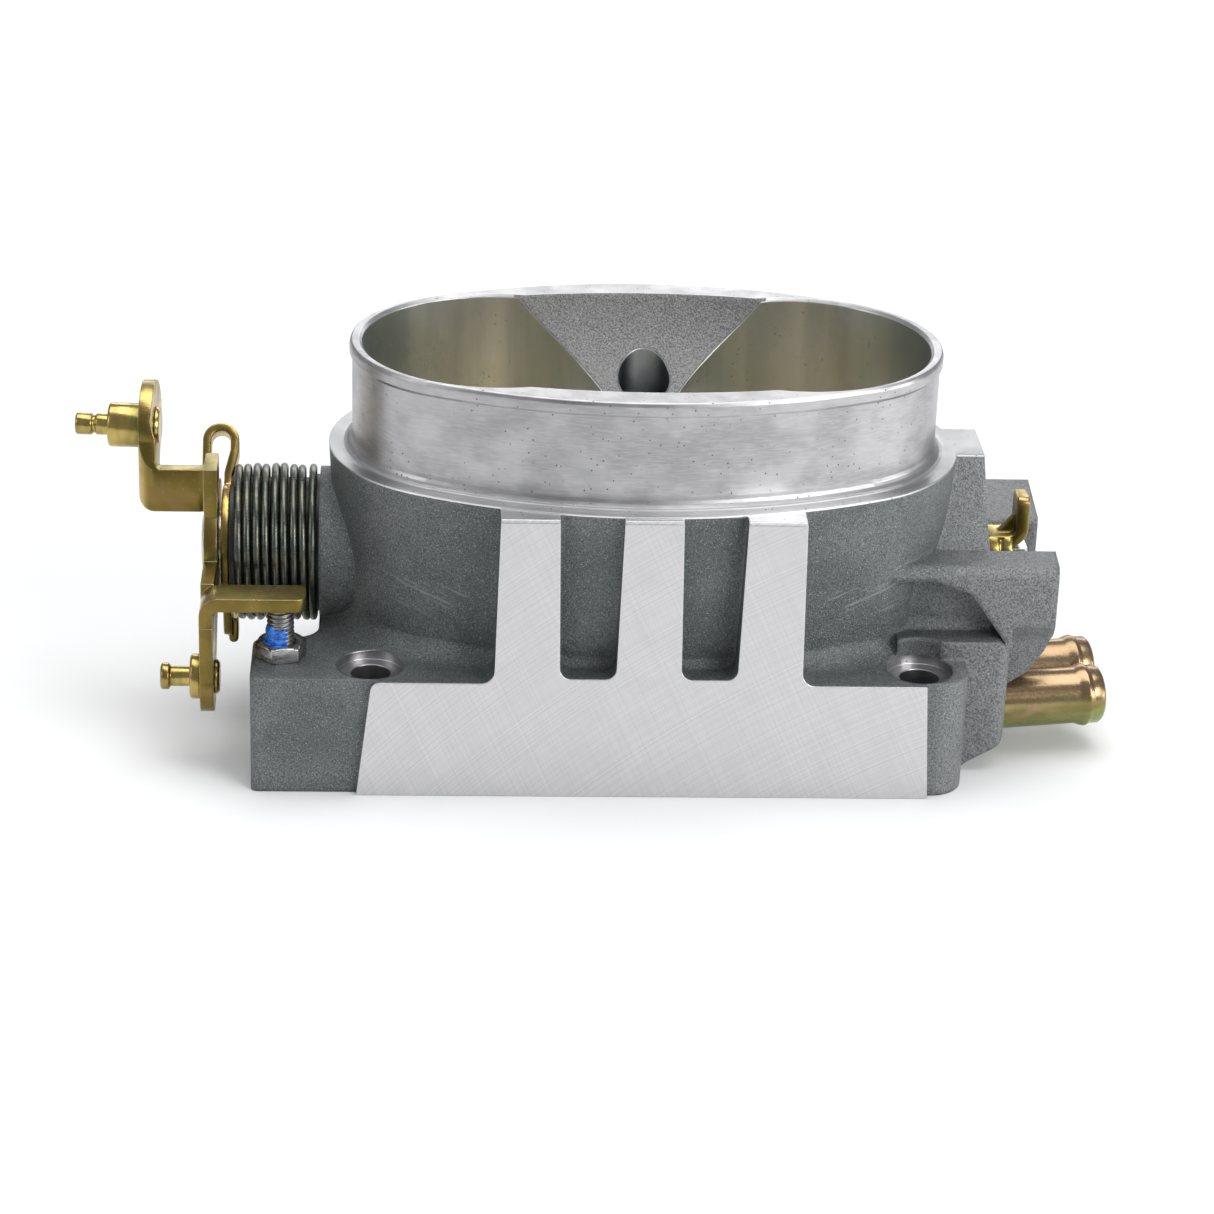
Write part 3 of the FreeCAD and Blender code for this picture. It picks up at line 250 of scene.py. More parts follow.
def casting_material():
    """Sand-grained cast aluminium with its machined neck, pad, bores and faces."""
    g = Graph("cast_and_machined_aluminium")
    x, y, z = g.split(g.place)
    side_x = g.math("ABSOLUTE", x)
    side_y = g.math("ABSOLUTE", y)

    # where the tools have been
    def circle_distance(u, v, centre_u, centre_v):
        return g.vector("LENGTH", g.join(g.math("SUBTRACT", u, centre_u),
                                         g.math("SUBTRACT", v, centre_v), 0.0), output="Value")
    from_bore = circle_distance(side_x, y, BORE_HALF_PITCH, 0.0)
    bore = g.below(from_bore, BORE_EDGE)
    pad = g.below(y, PAD_FACE_Y)
    rib_chamfer = g.both(g.below(y, RIB_CHAMFER_Y), g.above(z, RIB_CHAMFER_Z))
    top = g.above(z, LEDGE_Z)
    wedge = g.both(g.below(side_y, SADDLE_HALF_Y), g.below(side_x, SADDLE_HALF_X),
                   g.below(z, NECK_TOP_Z), g.invert(bore), top)
    idle_hole = g.both(g.below(circle_distance(x, y, IDLE_X, IDLE_Y), IDLE_EDGE),
                       g.above(z, 30 * MM))
    from_bolt = circle_distance(side_x, side_y, BOLT_X, BOLT_Y)
    spot = g.both(g.below(from_bolt, SPOT_FACE_EDGE), g.below(z, 27 * MM))
    foot = g.below(z, 0.06 * MM)
    rear = g.above(y, REAR_FACE_Y)
    ear_plane = g.math("SUBTRACT", x, g.math("MULTIPLY_ADD", y, EAR_FACE_SLOPE, EAR_FACE_X))
    ear = g.both(g.above(ear_plane, -0.12 * MM), g.above(z, 17 * MM))
    neck = g.both(top, g.invert(wedge), g.invert(bore))
    flat_cut = g.either(pad, rib_chamfer, foot, rear, ear)
    machined = g.either(g.both(neck, g.invert(flat_cut)), bore, flat_cut, spot, idle_hole)

    # as-cast skin
    sand = g.grain(0.42 * MM, detail=3.0, rough=0.6)
    glint = g.grain(0.30 * MM, detail=2.0, rough=0.7, shift=5.0)
    clumps = g.grain(1.6 * MM, detail=3.0, shift=4.0)
    stain = g.grain(15 * MM, detail=3.0, shift=9.0)
    cast = g.mix(g.ramp(stain, 0.35, 0.68), (0.143, 0.158, 0.160), (0.208, 0.222, 0.223))
    # lighter towards the right: a tone that stands in for the light, not another metal
    cast = g.mix(g.ramp(x, 56 * MM, 70 * MM, 0.0, 0.6), cast, (0.30, 0.305, 0.305))
    cast = g.mix(wedge, cast, (0.265, 0.262, 0.258))
    cast = g.mix(g.ramp(sand, 0.36, 0.60, 0.75, 0.0), cast, (0.070, 0.075, 0.076))
    cast = g.mix(g.ramp(glint, 0.55, 0.72, 0.0, 0.75), cast, (0.50, 0.50, 0.50))
    # streaks where the wall has been rubbed, climbing away from the ribs
    climb = g.join(side_x, y, g.math("MULTIPLY_ADD", side_x, -0.35, z))
    rubbed = g.both(g.grain(1.0 * MM, (14, 14, 1), detail=3.0, at=climb, shift=8.0),
                    g.below(y, -20 * MM), g.above(side_x, 36 * MM, 5 * MM),
                    g.below(side_x, 61 * MM, 4 * MM), g.below(z, 47 * MM, 4 * MM),
                    g.above(z, 35 * MM, 3 * MM))
    cast = g.mix(g.ramp(rubbed, 0.52, 0.66, 0.0, 0.55), cast, (0.33, 0.335, 0.34))
    cast_height = g.math("MULTIPLY_ADD", clumps, 0.8, sand)

    # machined skins: arcs of a fly cutter on the flats, satin turning round the neck and bores
    arc = circle_distance(x, z, CUTTER_X, CUTTER_Z)
    arcs = g.grain(0.42 * MM, detail=3.0, at=g.join(arc, 0.0, 0.0))
    cross = g.grain(0.6 * MM, detail=2.0, at=g.join(g.math("MULTIPLY_ADD", z, 0.45, x), 0.0, 0.0),
                    shift=3.0)
    fly = g.math("MULTIPLY_ADD", cross, 0.4, arcs)
    turning = g.grain(0.35 * MM, stretch=(9, 9, 1), detail=3.0)
    blotch = g.grain(7 * MM, detail=4.0, rough=0.62, shift=2.0)
    cloud = g.grain(12 * MM, (1, 1, 0.7), detail=3.0, shift=21.0)
    pores = g.both(g.pits(1.2 * MM, 0.20), g.ramp(g.grain(10 * MM, shift=6.0), 0.38, 0.52),
                   g.invert(flat_cut))
    flat_tone = g.mix(g.ramp(fly, 0.45, 0.95), (0.53, 0.525, 0.53), (0.69, 0.685, 0.69))
    flat_tone = g.mix(g.ramp(blotch, 0.3, 0.75, 0.0, 0.25), flat_tone, (0.50, 0.495, 0.50))
    neck_tone = g.mix(g.ramp(cloud, 0.35, 0.65), (0.35, 0.345, 0.35), (0.47, 0.46, 0.47))
    neck_tone = g.mix(g.ramp(turning, 0.4, 0.7, 0.0, 0.3), neck_tone, (0.62, 0.61, 0.62))
    neck_tone = g.mix(g.ramp(blotch, 0.52, 0.7, 0.0, 0.35), neck_tone, (0.38, 0.40, 0.385))
    # painted reflections: vertical bands of warm and cool tone, as honed walls show opposite each other
    reflection_bands = g.grain(9 * MM, (1, 1, 14), detail=3.0, rough=0.6, shift=13.0)
    bore_tone = g.mix(g.ramp(reflection_bands, 0.36, 0.64), (0.71, 0.72, 0.68), (0.91, 0.88, 0.81))
    bore_tone = g.mix(g.ramp(turning, 0.35, 0.7, 0.0, 0.3), bore_tone, (0.85, 0.85, 0.79))
    # tones that stand in for reflections: cool outer walls, a ledge that shines at the front
    bore_tone = g.mix(g.ramp(side_x, 42 * MM, 58 * MM, 0.0, 0.75), bore_tone, (0.66, 0.74, 0.70))
    shelf = g.both(top, g.below(z, 65.25 * MM))
    ledge_tone = g.mix(g.ramp(y, -33 * MM, -20 * MM), (0.86, 0.86, 0.865), (0.36, 0.365, 0.37))
    neck_tone = g.mix(shelf, neck_tone, ledge_tone)
    tone = g.mix(flat_cut, neck_tone, flat_tone)
    tone = g.mix(bore, tone, bore_tone)
    tone = g.mix(pores, tone, (0.10, 0.10, 0.10))
    # and an idle hole with a painted highlight in its middle and painted shade at its sides
    from_hole = g.math("ABSOLUTE", g.math("SUBTRACT", x, IDLE_X))
    idle_hole_shading = g.mix(g.ramp(from_hole, 1.2 * MM, 4.6 * MM), (0.86, 0.88, 0.90), (0.16, 0.17, 0.18))
    tone = g.mix(g.both(idle_hole, g.invert(flat_cut)), tone, idle_hole_shading)

    crisp, edge = g.edges(0.40 * MM)
    soft, _ = g.edges(1.5 * MM)
    rounded = g.blend_normals(machined, soft, crisp)
    # painted highlight along hard edges: strong on machined edges, faint on the cast
    edge_highlight = g.both(edge, g.blend(machined, 0.12, 0.7))
    colour = g.mix(machined, cast, tone)
    colour = g.mix(edge_highlight, colour, (0.78, 0.78, 0.78))
    rough_cast = g.ramp(sand, 0.35, 0.7, 0.50, 0.66)
    rough_cut = g.blend(bore, g.blend(flat_cut, g.ramp(blotch, 0.3, 0.7, 0.33, 0.42),
                                      g.ramp(fly, 0.5, 1.0, 0.30, 0.42)), 0.27)
    roughness = g.blend(edge_highlight, g.blend(machined, rough_cast, rough_cut), 0.28)
    first = g.bump(g.math("MULTIPLY", cast_height, g.invert(machined)), 0.22 * MM, rounded)
    cuts = g.blend(flat_cut, g.math("MULTIPLY", turning, 0.6), fly)
    second = g.bump(g.math("MULTIPLY", g.math("SUBTRACT", cuts, g.math("MULTIPLY", pores, 2.0)),
                           machined), 0.016 * MM, first)
    metallic = g.blend(machined, 0.72, 1.0)
    return g.finish(colour, roughness, metallic, second)


def zinc_material(name, tones, size, stretch=(1, 1, 1), rough=(0.24, 0.38), up_tint=0.0,
                  front_painted_shade=0.0):
    """Yellow passivated zinc plate: gold with drifts of pink and green.

    up_tint reddens faces that look up and greens those that look down, and front_painted_shade darkens
    those that look forward; both stand in for reflections.
    """
    g = Graph(name)
    gold, olive, pink, green = tones
    drift = g.grain(size, stretch, detail=2.0)
    other = g.grain(size * 0.8, stretch, detail=2.0, shift=11.0)
    fine = g.grain(0.35 * MM, (3, 1, 3), detail=3.0, shift=5.0)
    colour = g.mix(g.ramp(drift, 0.38, 0.62), gold, olive)
    colour = g.mix(g.ramp(other, 0.56, 0.68, 0.0, 0.75), colour, pink)
    colour = g.mix(g.ramp(other, 0.44, 0.32, 0.0, 0.7), colour, green)
    if up_tint:
        lift = g.split(g.facing)[2]
        colour = g.mix(g.ramp(lift, 0.0, 0.7, 0.0, up_tint), colour, pink)
        colour = g.mix(g.ramp(lift, -0.1, -0.6, 0.0, up_tint), colour, green)
    if front_painted_shade:
        # painted shade on faces that look forward, standing in for what they reflect
        own_normal = g.node("ShaderNodeTexCoord").outputs["Normal"]
        front = g.math("MULTIPLY", g.split(own_normal)[1], -1.0)
        colour = g.mix(g.ramp(front, 0.6, 0.95, 0.0, front_painted_shade), colour, (0.13, 0.09, 0.018))
    dull = g.pits(1.1 * MM, 0.3)
    colour = g.mix(g.both(dull, 0.4), colour, olive)
    rounded, edge = g.edges(0.28 * MM)
    # painted highlight along the plate's edges
    colour = g.mix(g.both(edge, 0.65), colour, (0.95, 0.85, 0.60))
    roughness = g.ramp(g.math("MULTIPLY_ADD", fine, 0.5, drift), 0.5, 1.0, *rough)
    normal = g.bump(fine, 0.02 * MM, rounded)
    return g.finish(colour, roughness, 1.0, normal)


def steel_material(name, low, high, rough, size, stretch=(1, 1, 1)):
    """Plain or oiled steel with drawn or turned lines."""
    g = Graph(name)
    lines = g.grain(size, stretch, detail=3.0)
    smear = g.grain(6 * MM, detail=3.0, shift=7.0)
    colour = g.mix(g.ramp(lines, 0.35, 0.7), low, high)
    colour = g.mix(g.ramp(smear, 0.5, 0.75, 0.0, 0.5), colour, low)
    rounded, edge = g.edges(0.15 * MM)
    # painted highlight along hard edges
    colour = g.mix(g.both(edge, 0.6), colour, grey(0.75, 0.02))
    roughness = g.ramp(g.math("ADD", lines, smear), 0.6, 1.4, *rough)
    return g.finish(colour, roughness, 1.0, g.bump(lines, 0.012 * MM, rounded))


def moulded_material(name, tone, rough, bump, size=0.4 * MM):
    """Moulded plastic, rubber or fibre sheet."""
    g = Graph(name)
    skin = g.grain(size, detail=4.0)
    dust = g.grain(5 * MM, detail=4.0, shift=3.0)
    colour = g.mix(g.ramp(dust, 0.55, 0.8, 0.0, 0.35), tone, tuple(c * 2.2 + 0.01 for c in tone))
    rounded, _ = g.edges(0.2 * MM)
    roughness = g.ramp(skin, 0.3, 0.7, rough - 0.06, rough + 0.06)
    return g.finish(colour, roughness, 0.0, g.bump(skin, bump * MM, rounded))


def spring_material():
    """Dark oiled wire with drawn lines, lightened partly as painted highlights, and a little heat colour."""
    g = Graph("oiled_spring_steel")
    drawn = g.grain(0.5 * MM, (8, 1, 1), detail=3.0)
    heat = g.grain(3.5 * MM, (0.6, 1, 1), detail=3.0, shift=2.0)
    colour = g.mix(g.ramp(heat, 0.35, 0.65), (0.075, 0.092, 0.080), (0.150, 0.150, 0.120))
    # lighter drawn lines: partly the wire's own lines, partly painted highlights
    colour = g.mix(g.ramp(drawn, 0.55, 0.75, 0.0, 0.35), colour, (0.26, 0.235, 0.18))
    roughness = g.ramp(drawn, 0.3, 0.75, 0.26, 0.40)
    return g.finish(colour, roughness, 1.0, g.bump(drawn, 0.02 * MM))


def locker_material():
    """Dried blue thread locker."""
    g = Graph("blue_thread_locker")
    flow = g.grain(0.7 * MM, detail=2.0)
    colour = g.mix(g.ramp(flow, 0.35, 0.65), (0.010, 0.075, 0.42), (0.05, 0.24, 0.78))
    return g.finish(colour, g.ramp(flow, 0.3, 0.7, 0.30, 0.5), 0.0, g.bump(flow, 0.06 * MM))


LEVER_TONES = ((0.50, 0.37, 0.125), (0.30, 0.235, 0.075), (0.50, 0.33, 0.17), (0.30, 0.31, 0.10))
TUBE_TONES = ((0.33, 0.26, 0.115), (0.21, 0.18, 0.07), (0.37, 0.235, 0.155), (0.28, 0.32, 0.12))

MATERIALS = {
    "cast_aluminium": casting_material(),
    "bearing_bronze": steel_material("bearing_bronze", (0.45, 0.30, 0.16), (0.66, 0.48, 0.28),
                                     (0.3, 0.42), 0.5 * MM, (6, 1, 1)),
    "seal_rubber": moulded_material("seal_rubber", (0.018, 0.018, 0.019), 0.62, 0.03),
    "black_nylon": moulded_material("black_nylon", (0.012, 0.013, 0.014), 0.42, 0.015),
    "screw_steel": steel_material("screw_steel", grey(0.26), grey(0.46, 0.02), (0.3, 0.42),
                                  0.4 * MM, (3, 3, 1)),
    "nut_steel": steel_material("nut_steel", grey(0.34, 0.02), grey(0.62, 0.02), (0.22, 0.34),
                                0.35 * MM, (6, 6, 1)),
    "yellow_zinc_tube": zinc_material("yellow_zinc_tube", TUBE_TONES, 6 * MM, (2.5, 1, 1),
                                      (0.2, 0.32), 0.7),
    "plug_brass": steel_material("plug_brass", (0.45, 0.34, 0.16), (0.70, 0.55, 0.28),
                                 (0.28, 0.4), 0.4 * MM),
    "gasket_fibre": moulded_material("gasket_fibre", (0.05, 0.055, 0.05), 0.8, 0.08, 0.7 * MM),
    "shaft_steel": steel_material("shaft_steel", grey(0.42, 0.02), grey(0.68, 0.02), (0.2, 0.32),
                                  0.25 * MM, (1, 20, 20)),
    "plate_brass": steel_material("plate_brass", (0.48, 0.38, 0.22), (0.68, 0.56, 0.35),
                                  (0.24, 0.38), 0.4 * MM, (20, 1, 20)),
    "yellow_zinc_lever": zinc_material("yellow_zinc_lever", LEVER_TONES, 9 * MM,
                                       front_painted_shade=0.75),
    "yellow_zinc_stud": zinc_material("yellow_zinc_stud", LEVER_TONES, 4 * MM, (1, 3, 3),
                                      (0.18, 0.28)),
    "spring_steel": spring_material(),
}


def cover_material():
    """Small die casting: fine grain with a milled outer face."""
    g = Graph("cover_aluminium")
    y = g.split(g.place)[1]
    sand = g.grain(0.5 * MM, detail=4.0)
    milled = g.grain(0.4 * MM, (12, 1, 1), detail=3.0)
    cut = g.above(y, 53.6 * MM)
    rounded, edge = g.edges(0.4 * MM)
    cast = g.mix(g.ramp(sand, 0.35, 0.65), (0.17, 0.175, 0.18), (0.30, 0.305, 0.31))
    face = g.mix(g.ramp(milled, 0.3, 0.7), (0.55, 0.55, 0.56), (0.74, 0.74, 0.75))
    # painted highlight along hard edges, over both cast and milled faces
    colour = g.mix(g.both(edge, 0.6), g.mix(cut, cast, face), (0.7, 0.7, 0.7))
    height = g.blend(cut, sand, g.math("MULTIPLY", milled, 0.15))
    return g.finish(colour, g.blend(cut, 0.58, 0.32), 0.9, g.bump(height, 0.13 * MM, rounded))


MATERIALS["cover_aluminium"] = cover_material()
SLOT_OF = {row["node"]: row["material_slot"] for row in frame["record"]["subparts"]}
BODY_OF = {node: body for body, nodes in frame["record"]["behaviour"]["bodies"].items()
           for node in nodes}


def paint(thing, material):
    """Give thing this one material."""
    thing.data.materials.clear()
    thing.data.materials.append(material)


for node, thing in frame["nodes"].items():
    paint(thing, MATERIALS[SLOT_OF[node]])


# ---------------------------------------------------------------- mesh helpers

def mesh_piece(name, build, slot, body, node=None):
    """New mesh object filled in by build(bmesh), riding on a body and standing for a CAD node."""
    data = bpy.data.meshes.new(name)
    work = bmesh.new()
    build(work)
    bmesh.ops.recalc_face_normals(work, faces=work.faces)
    work.to_mesh(data)
    work.free()
    return settle(bpy.data.objects.new(name, data), slot, body, node)


def settle(piece, slot, body, node=None):
    """Put piece in the scene: smooth, painted, in its slot, riding on its body."""
    if piece.name not in bpy.context.scene.collection.objects:
        bpy.context.scene.collection.objects.link(piece)
    for face in piece.data.polygons:
        face.use_smooth = True
    paint(piece, MATERIALS[slot])
    if node:
        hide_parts(node)
    if body:
        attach(piece, body)
    return piece


def bevelled(source, width):
    """Mesh of source with its hard edges rounded over by width."""
    piece = bpy.data.objects.new("bevel_work", source)
    bpy.context.scene.collection.objects.link(piece)
    bevel = piece.modifiers.new("edges", "BEVEL")
    bevel.width = width
    bevel.segments = 3
    bevel.limit_method = "ANGLE"
    bevel.angle_limit = math.radians(SHARP_EDGE)
    bevel.use_clamp_overlap = False
    bevel.harden_normals = True
    bpy.context.view_layer.update()
    result = bpy.data.meshes.new_from_object(
        piece.evaluated_get(bpy.context.evaluated_depsgraph_get()))
    bpy.data.objects.remove(piece)
    return result


def rounded_copy(node, width):
    """The CAD node's own shape, its hard edges rounded as widely as they allow."""
    work = bmesh.new()
    work.from_mesh(frame["nodes"][node].data)
    bmesh.ops.remove_doubles(work, verts=work.verts, dist=0.002 * MM)
    surface = BVHTree.FromBMesh(work)
    bmesh.ops.dissolve_limit(work, angle_limit=math.radians(0.6), verts=work.verts,
                             edges=work.edges)
    source = bpy.data.meshes.new(f"{node}_edges")
    work.to_mesh(source)
    work.free()
    for face in source.polygons:
        face.use_smooth = True
    for share in (1.0, 0.75, 0.55, 0.4, 0.28, 0.2, 0.12):
        result = bevelled(source, width * share)
        gap = max(surface.find_nearest(vertex.co)[3] for vertex in result.vertices)
        if gap < width * share * 0.75 + 0.01 * MM:
            break
    print(f"{node}: edge {width * share / MM:.2f} mm, off by {gap / MM:.3f} mm")
    piece = bpy.data.objects.new(f"{node}_finish", result)
    return settle(piece, SLOT_OF[node], BODY_OF[node], node)


def tube(work, points, radius, sides):
    """Round wire along points, with domed ends."""
    centres = [Vector(p) for p in points]
    tangents = [(centres[min(i + 1, len(centres) - 1)] - centres[max(i - 1, 0)]).normalized()
                for i in range(len(centres))]
    side = tangents[0].orthogonal().normalized()
    rings = []
    dome = [(-0.9, 0.35), (-0.55, 0.8)]
    stations = [(centres[0] + tangents[0] * radius * back, tangents[0], radius * share)
                for back, share in dome]
    stations += [(centre, along, radius) for centre, along in zip(centres, tangents)]
    stations += [(centres[-1] - tangents[-1] * radius * back, tangents[-1], radius * share)
                 for back, share in reversed(dome)]
    for centre, along, reach in stations:
        side = (side - along * side.dot(along)).normalized()
        up = along.cross(side)
        rings.append([work.verts.new(centre + (side * math.cos(a) + up * math.sin(a)) * reach)
                      for a in (2 * math.pi * k / sides for k in range(sides))])
    skin(work, rings, closed=True)
    work.faces.new(rings[0][::-1])
    work.faces.new(rings[-1])


def skin(work, rings, closed):
    """Faces between neighbouring rings of the same count."""
    count = len(rings[0])
    for low, high in zip(rings, rings[1:]):
        for k in range(count if closed else count - 1):
            after = (k + 1) % count
            work.faces.new((low[k], low[after], high[after], high[k]))


# ---------------------------------------------------------------- return spring

SPRING_LOW, SPRING_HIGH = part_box("return_spring")
WIRE = 0.88 * MM
WIRE_SIDES = 14
COIL = 16.4 * MM
SPRING_TURNS = 9
LEVER_LEG = 15.4 * MM
BODY_LEG = 6.9 * MM
LEVER_END = SPRING_LOW.x + 0.9 * MM
FIXED_END = SPRING_HIGH.x - 0.9 * MM


def spring_path():
    """Nine slightly uneven turns; the last one stands apart, and both legs are at the back."""
    steps = 64
    points = []
    # turns from the lever's end, where the coil then is along the shaft, and how it swells, in mm
    marks = [0.0, 0.25, 1.25, 2.25, 3.25, 4.25, 5.25, 6.25, 7.25, 8.25, 9.0]
    coil_at = [0.0, 0.75, 2.75, 4.72, 6.75, 8.80, 10.78, 12.80, 14.75, 17.1, 17.4]
    swell = [0.0, 0.0, 0.12, 0.34, 0.16, 0.38, 0.44, 0.14, 0.05, 0.30, 0.0]
    for k in range(12):
        points.append((LEVER_END, COIL, SHAFT_Z - LEVER_LEG * (1 - k / 12)))
    for k in range(SPRING_TURNS * steps + 1):
        turn = k / steps
        along = np.interp(turn, marks, coil_at) * MM
        reach = COIL + np.interp(turn, marks, swell) * MM
        wobble = 0.06 * MM * math.sin(math.pi * turn + 1.0) * min(turn, SPRING_TURNS - turn, 1)
        angle = 2 * math.pi * turn
        points.append((LEVER_END + along + wobble, reach * math.cos(angle),
                       SHAFT_Z + reach * math.sin(angle)))
    for k in range(1, 9):
        points.append((FIXED_END, COIL, SHAFT_Z + BODY_LEG * k / 8))
    return smooth(points, 3)


def smooth(points, rounds):
    """Round the path's corners by averaging neighbours."""
    path = np.array(points)
    for _ in range(rounds):
        path[1:-1] = (path[:-2] + 2 * path[1:-1] + path[2:]) / 4
    return path


spring = mesh_piece("torsion_spring", lambda work: tube(work, spring_path(), WIRE, WIRE_SIDES),
                    "spring_steel", None, "return_spring")
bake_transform(spring)


# ---------------------------------------------------------------- stop screw and thread locker

SCREW_LOW, SCREW_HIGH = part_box("stop_screw")
SCREW_X = (SCREW_LOW.x + SCREW_HIGH.x) / 2
SCREW_Y = (SCREW_LOW.y + SCREW_HIGH.y) / 2
NUT_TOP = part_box("stop_screw_locknut")[1].z


def threaded_screw(work):
    """M6 screw: helical ridges above the nut, plain where the casting hides it."""
    crest = 2.95 * MM
    depth = 0.58 * MM
    pitch = 1.0 * MM
    around = 40
    start = NUT_TOP - 2.0 * MM
    chamfer = SCREW_HIGH.z - 1.0 * MM
    heights = [SCREW_LOW.z, SCREW_LOW.z + 0.8 * MM]
    heights += list(np.arange(start, SCREW_HIGH.z, pitch / 8)) + [SCREW_HIGH.z]
    rings = []
    for z in heights:
        ring = []
        for k in range(around):
            angle = 2 * math.pi * k / around
            phase = ((z - start) / pitch - k / around) % 1.0
            ridge = min(1.0, max(0.0, 2.6 * abs(phase - 0.5) - 0.15))
            radius = crest - depth * (1 - ridge) * min(1.0, max(0.0, (z - start) / pitch))
            if z > chamfer:
                radius = min(radius, crest - (z - chamfer) * 1.35)
            if z == SCREW_LOW.z:
                radius = 2.2 * MM
            ring.append(work.verts.new((SCREW_X + radius * math.cos(angle),
                                        SCREW_Y + radius * math.sin(angle), z)))
        rings.append(ring)
    skin(work, rings, closed=True)
    work.faces.new(rings[0][::-1])
    work.faces.new(rings[-1])


def pillow(work, outer, inner, wide, tall):
    """Closed thin body between two matching sheets given as functions of 0 to 1."""
    sheets = []
    for surface in (outer, inner):
        sheets.append([[work.verts.new(surface(i / wide, j / tall)) for i in range(wide + 1)]
                       for j in range(tall + 1)])
    for sheet in sheets:
        skin(work, sheet, closed=False)
    top, bottom = sheets
    rim = [(j, 0) for j in range(tall)] + [(tall, i) for i in range(wide)]
    rim += [(j, wide) for j in range(tall, 0, -1)] + [(0, i) for i in range(wide, 0, -1)]
    for (a, b), (c, e) in zip(rim, rim[1:] + rim[:1]):
        work.faces.new((top[a][b], top[c][e], bottom[c][e], bottom[a][b]))


def locker_on_stud(work):
    """Dried locker over the front and left of the thread, ragged at its edges."""
    low = NUT_TOP - 0.3 * MM
    span = 4.6 * MM

    def at(u, v, lift):
        ragged = 0.16 * noise.noise(Vector((u * 5, v * 3, 4.0)))
        angle = math.radians(-205 + 150 * (u + ragged * (1 - v) * 0.5))
        z = low + span * v * (0.82 + 0.3 * noise.noise(Vector((u * 4, 1.5, 0.5))))
        fall = min(1.0, 5 * u, 5 * (1 - u), 6 * (1 - v))
        swell = 0.22 * MM * (0.6 + noise.noise(Vector((u * 6, v * 6, 1.0))))
        radius = 2.2 * MM if lift < 0.5 else (2.75 + 0.30 * fall) * MM + swell * fall
        return (SCREW_X + radius * math.cos(angle), SCREW_Y + radius * math.sin(angle), z)
    pillow(work, lambda u, v: at(u, v, 1), lambda u, v: at(u, v, 0), 36, 18)


def locker_on_nut(work):
    """The run that settled in the nut's mouth and spread to its top face."""
    def at(u, v, lift):
        angle = math.radians(-215 + 165 * u)
        spread = 1.2 + 0.9 * (0.5 + noise.noise(Vector((u * 4, 0.3, 7.0))))
        radius = (2.6 + spread * v) * MM
        fall = min(1.0, 5 * u, 5 * (1 - u)) * min(1.0, 3 * (1 - v))
        z = NUT_TOP - 0.5 * MM + (0.62 * MM * fall if lift > 0.5 else -0.3 * MM)
        return (SCREW_X + radius * math.cos(angle), SCREW_Y + radius * math.sin(angle), z)
    pillow(work, lambda u, v: at(u, v, 1), lambda u, v: at(u, v, 0), 36, 10)


MATERIALS["thread_locker"] = locker_material()
mesh_piece("stop_screw_thread", threaded_screw, "screw_steel", BODY, "stop_screw")
for name, build in (("locker_stud", locker_on_stud), ("locker_nut", locker_on_nut)):
    blob = mesh_piece(name, build, "thread_locker", BODY)


# ---------------------------------------------------------------- rounded hardware

EDGE_WIDTHS = {
    "throttle_lever": 0.55 * MM,
    "spring_hook_lever": 0.4 * MM,
    "cable_stud_upper": 0.16 * MM,
    "cable_stud_lower": 0.16 * MM,
    "sensor_drive_lever": 0.5 * MM,
    "sensor_drive_collar": 0.15 * MM,
    "stop_screw_locknut": 0.22 * MM,
    "hose_nipple_front": 0.15 * MM,
    "hose_nipple_rear": 0.15 * MM,
    "idle_air_cover": 0.45 * MM,
    "idle_air_cover_screws": 0.2 * MM,
}
for node, width in EDGE_WIDTHS.items():
    rounded_copy(node, width)


# ---------------------------------------------------------------- floor, light and camera

def area_light(name, spot, target, size, power):
    """Soft rectangular light at spot, turned to target."""
    lamp = bpy.data.lights.new(name, "AREA")
    lamp.shape = "RECTANGLE"
    lamp.size, lamp.size_y = size
    lamp.energy = power
    thing = bpy.data.objects.new(name, lamp)
    bpy.context.scene.collection.objects.link(thing)
    thing.location = spot
    thing.rotation_euler = (Vector(target) - Vector(spot)).to_track_quat("-Z", "Y").to_euler()


FLOOR_HALF = 4.0
FLOOR_DROP = 0.05 * MM
PART_MIDDLE = (0, 0, 0.04)


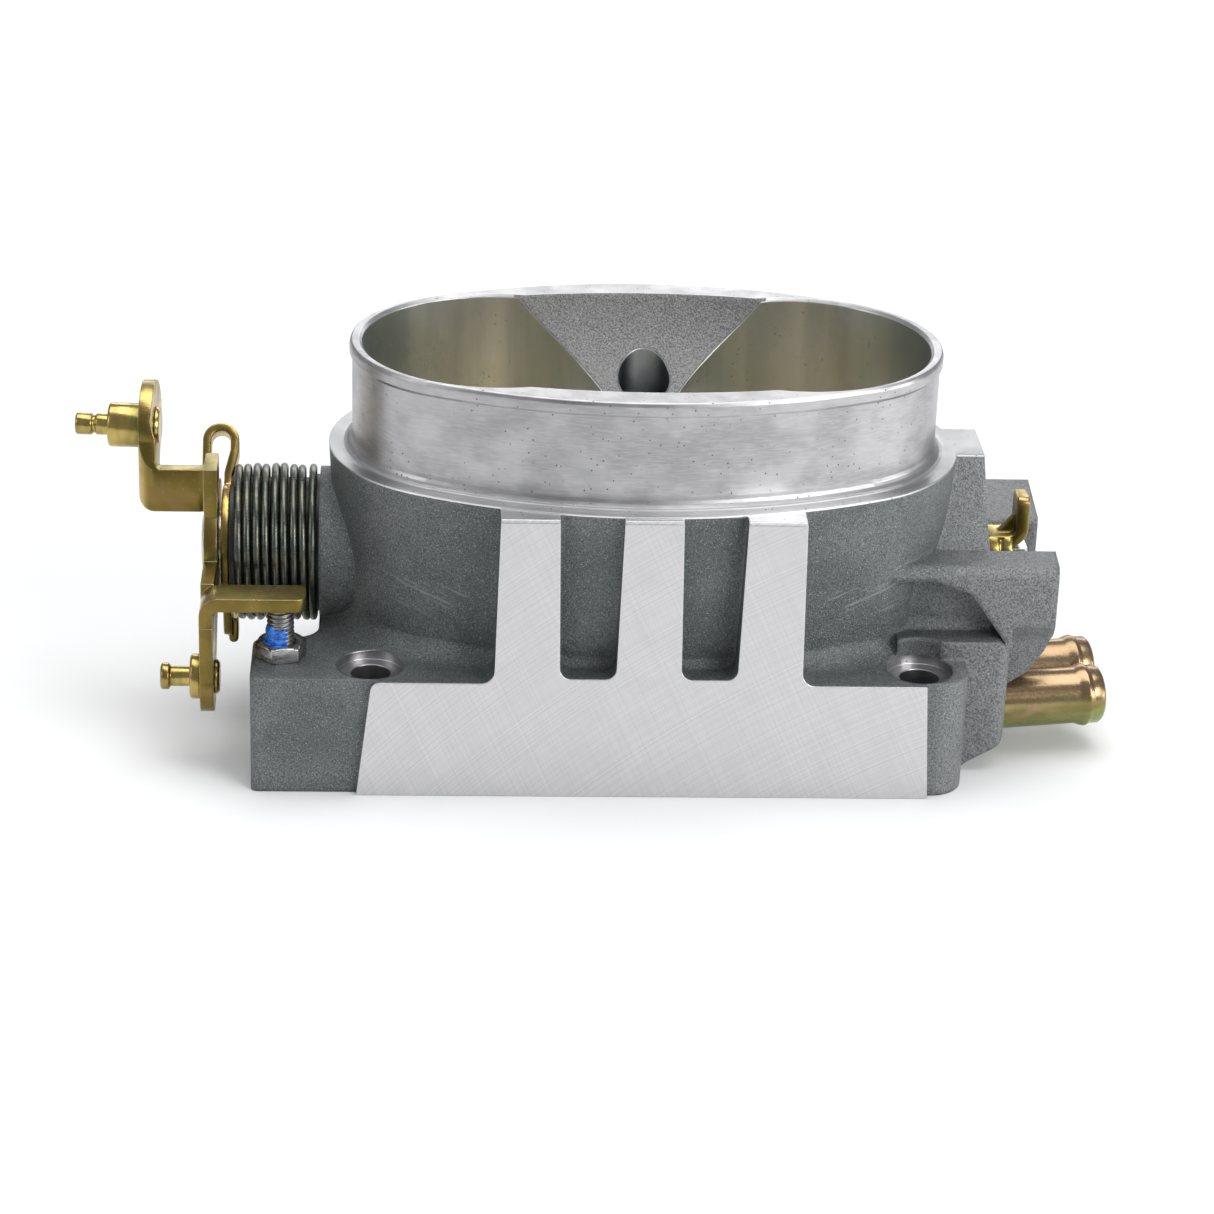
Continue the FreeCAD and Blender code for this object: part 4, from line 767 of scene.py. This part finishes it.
def studio():
    """Plain pale floor, five soft lights and a dim sky."""
    half = FLOOR_HALF
    data = bpy.data.meshes.new("studio_floor")
    data.from_pydata([(-half, -half, 0), (half, -half, 0), (half, half, 0), (-half, half, 0)], [],
                     [(0, 1, 2, 3)])
    floor = bpy.data.objects.new("studio_floor", data)
    floor.location.z = -FLOOR_DROP
    bpy.context.scene.collection.objects.link(floor)
    g = Graph("studio_floor")
    cloud = g.grain(0.4, detail=2.0)
    tone = g.mix(g.ramp(cloud, 0.3, 0.7), (0.90, 0.90, 0.90), (0.92, 0.92, 0.92))
    paint(floor, g.finish(tone, 0.7, 0.0))

    world = bpy.data.worlds.new("studio")
    bpy.context.scene.world = world
    world.use_nodes = True
    world.node_tree.nodes["Background"].inputs["Color"].default_value = (0.93, 0.96, 1.0, 1.0)
    world.node_tree.nodes["Background"].inputs["Strength"].default_value = 0.36
    area_light("softbox_top", (0.05, 0.10, 0.9), PART_MIDDLE, (1.0, 0.7), 6.4)
    area_light("softbox_front_right", (0.7, -0.8, 0.55), PART_MIDDLE, (0.6, 0.5), 6.2)
    area_light("softbox_left", (-0.8, -0.35, 0.5), (-0.05, 0, 0.04), (0.35, 0.5), 1.4)
    area_light("softbox_right", (0.9, -0.25, 0.12), (0.07, 0, 0.03), (0.4, 0.2), 1.8)
    area_light("softbox_back", (0.1, 0.9, 0.35), (0, 0, 0.06), (0.9, 0.25), 2.2)
    bpy.context.scene.view_settings.view_transform = "Standard"


# camera: degrees round, up and rolled, then where it looks, its lens and how far off it stands
CAMERA_SWING = math.radians(-3.48214)
CAMERA_RISE = math.radians(24.36806)
CAMERA_ROLL = math.radians(1.98595)
CAMERA_TARGET = Vector((-6.82775 * MM, 0, 25.14583 * MM))
CAMERA_LENS = 105.52
CAMERA_DISTANCE = 0.8


def camera():
    """Long lens, from the front, a little to the left and 24 degrees up."""
    swing, rise, roll = CAMERA_SWING, CAMERA_RISE, CAMERA_ROLL
    back = Vector((math.sin(swing) * math.cos(rise), -math.cos(swing) * math.cos(rise),
                   math.sin(rise)))
    right = Vector((math.cos(swing), math.sin(swing), 0))
    up = back.cross(right)
    axis_x = right * math.cos(roll) + up * math.sin(roll)
    axis_y = up * math.cos(roll) - right * math.sin(roll)
    lens = bpy.data.cameras.new("camera")
    lens.sensor_width = 36.0
    lens.lens = CAMERA_LENS
    lens.clip_start = 0.01
    thing = bpy.data.objects.new("camera", lens)
    bpy.context.scene.collection.objects.link(thing)
    turn = Matrix((axis_x, axis_y, back)).transposed().to_4x4()
    thing.matrix_world = Matrix.Translation(CAMERA_TARGET + back * CAMERA_DISTANCE) @ turn
    bpy.context.scene.camera = thing


studio()
camera()

bpy.context.view_layer.update()
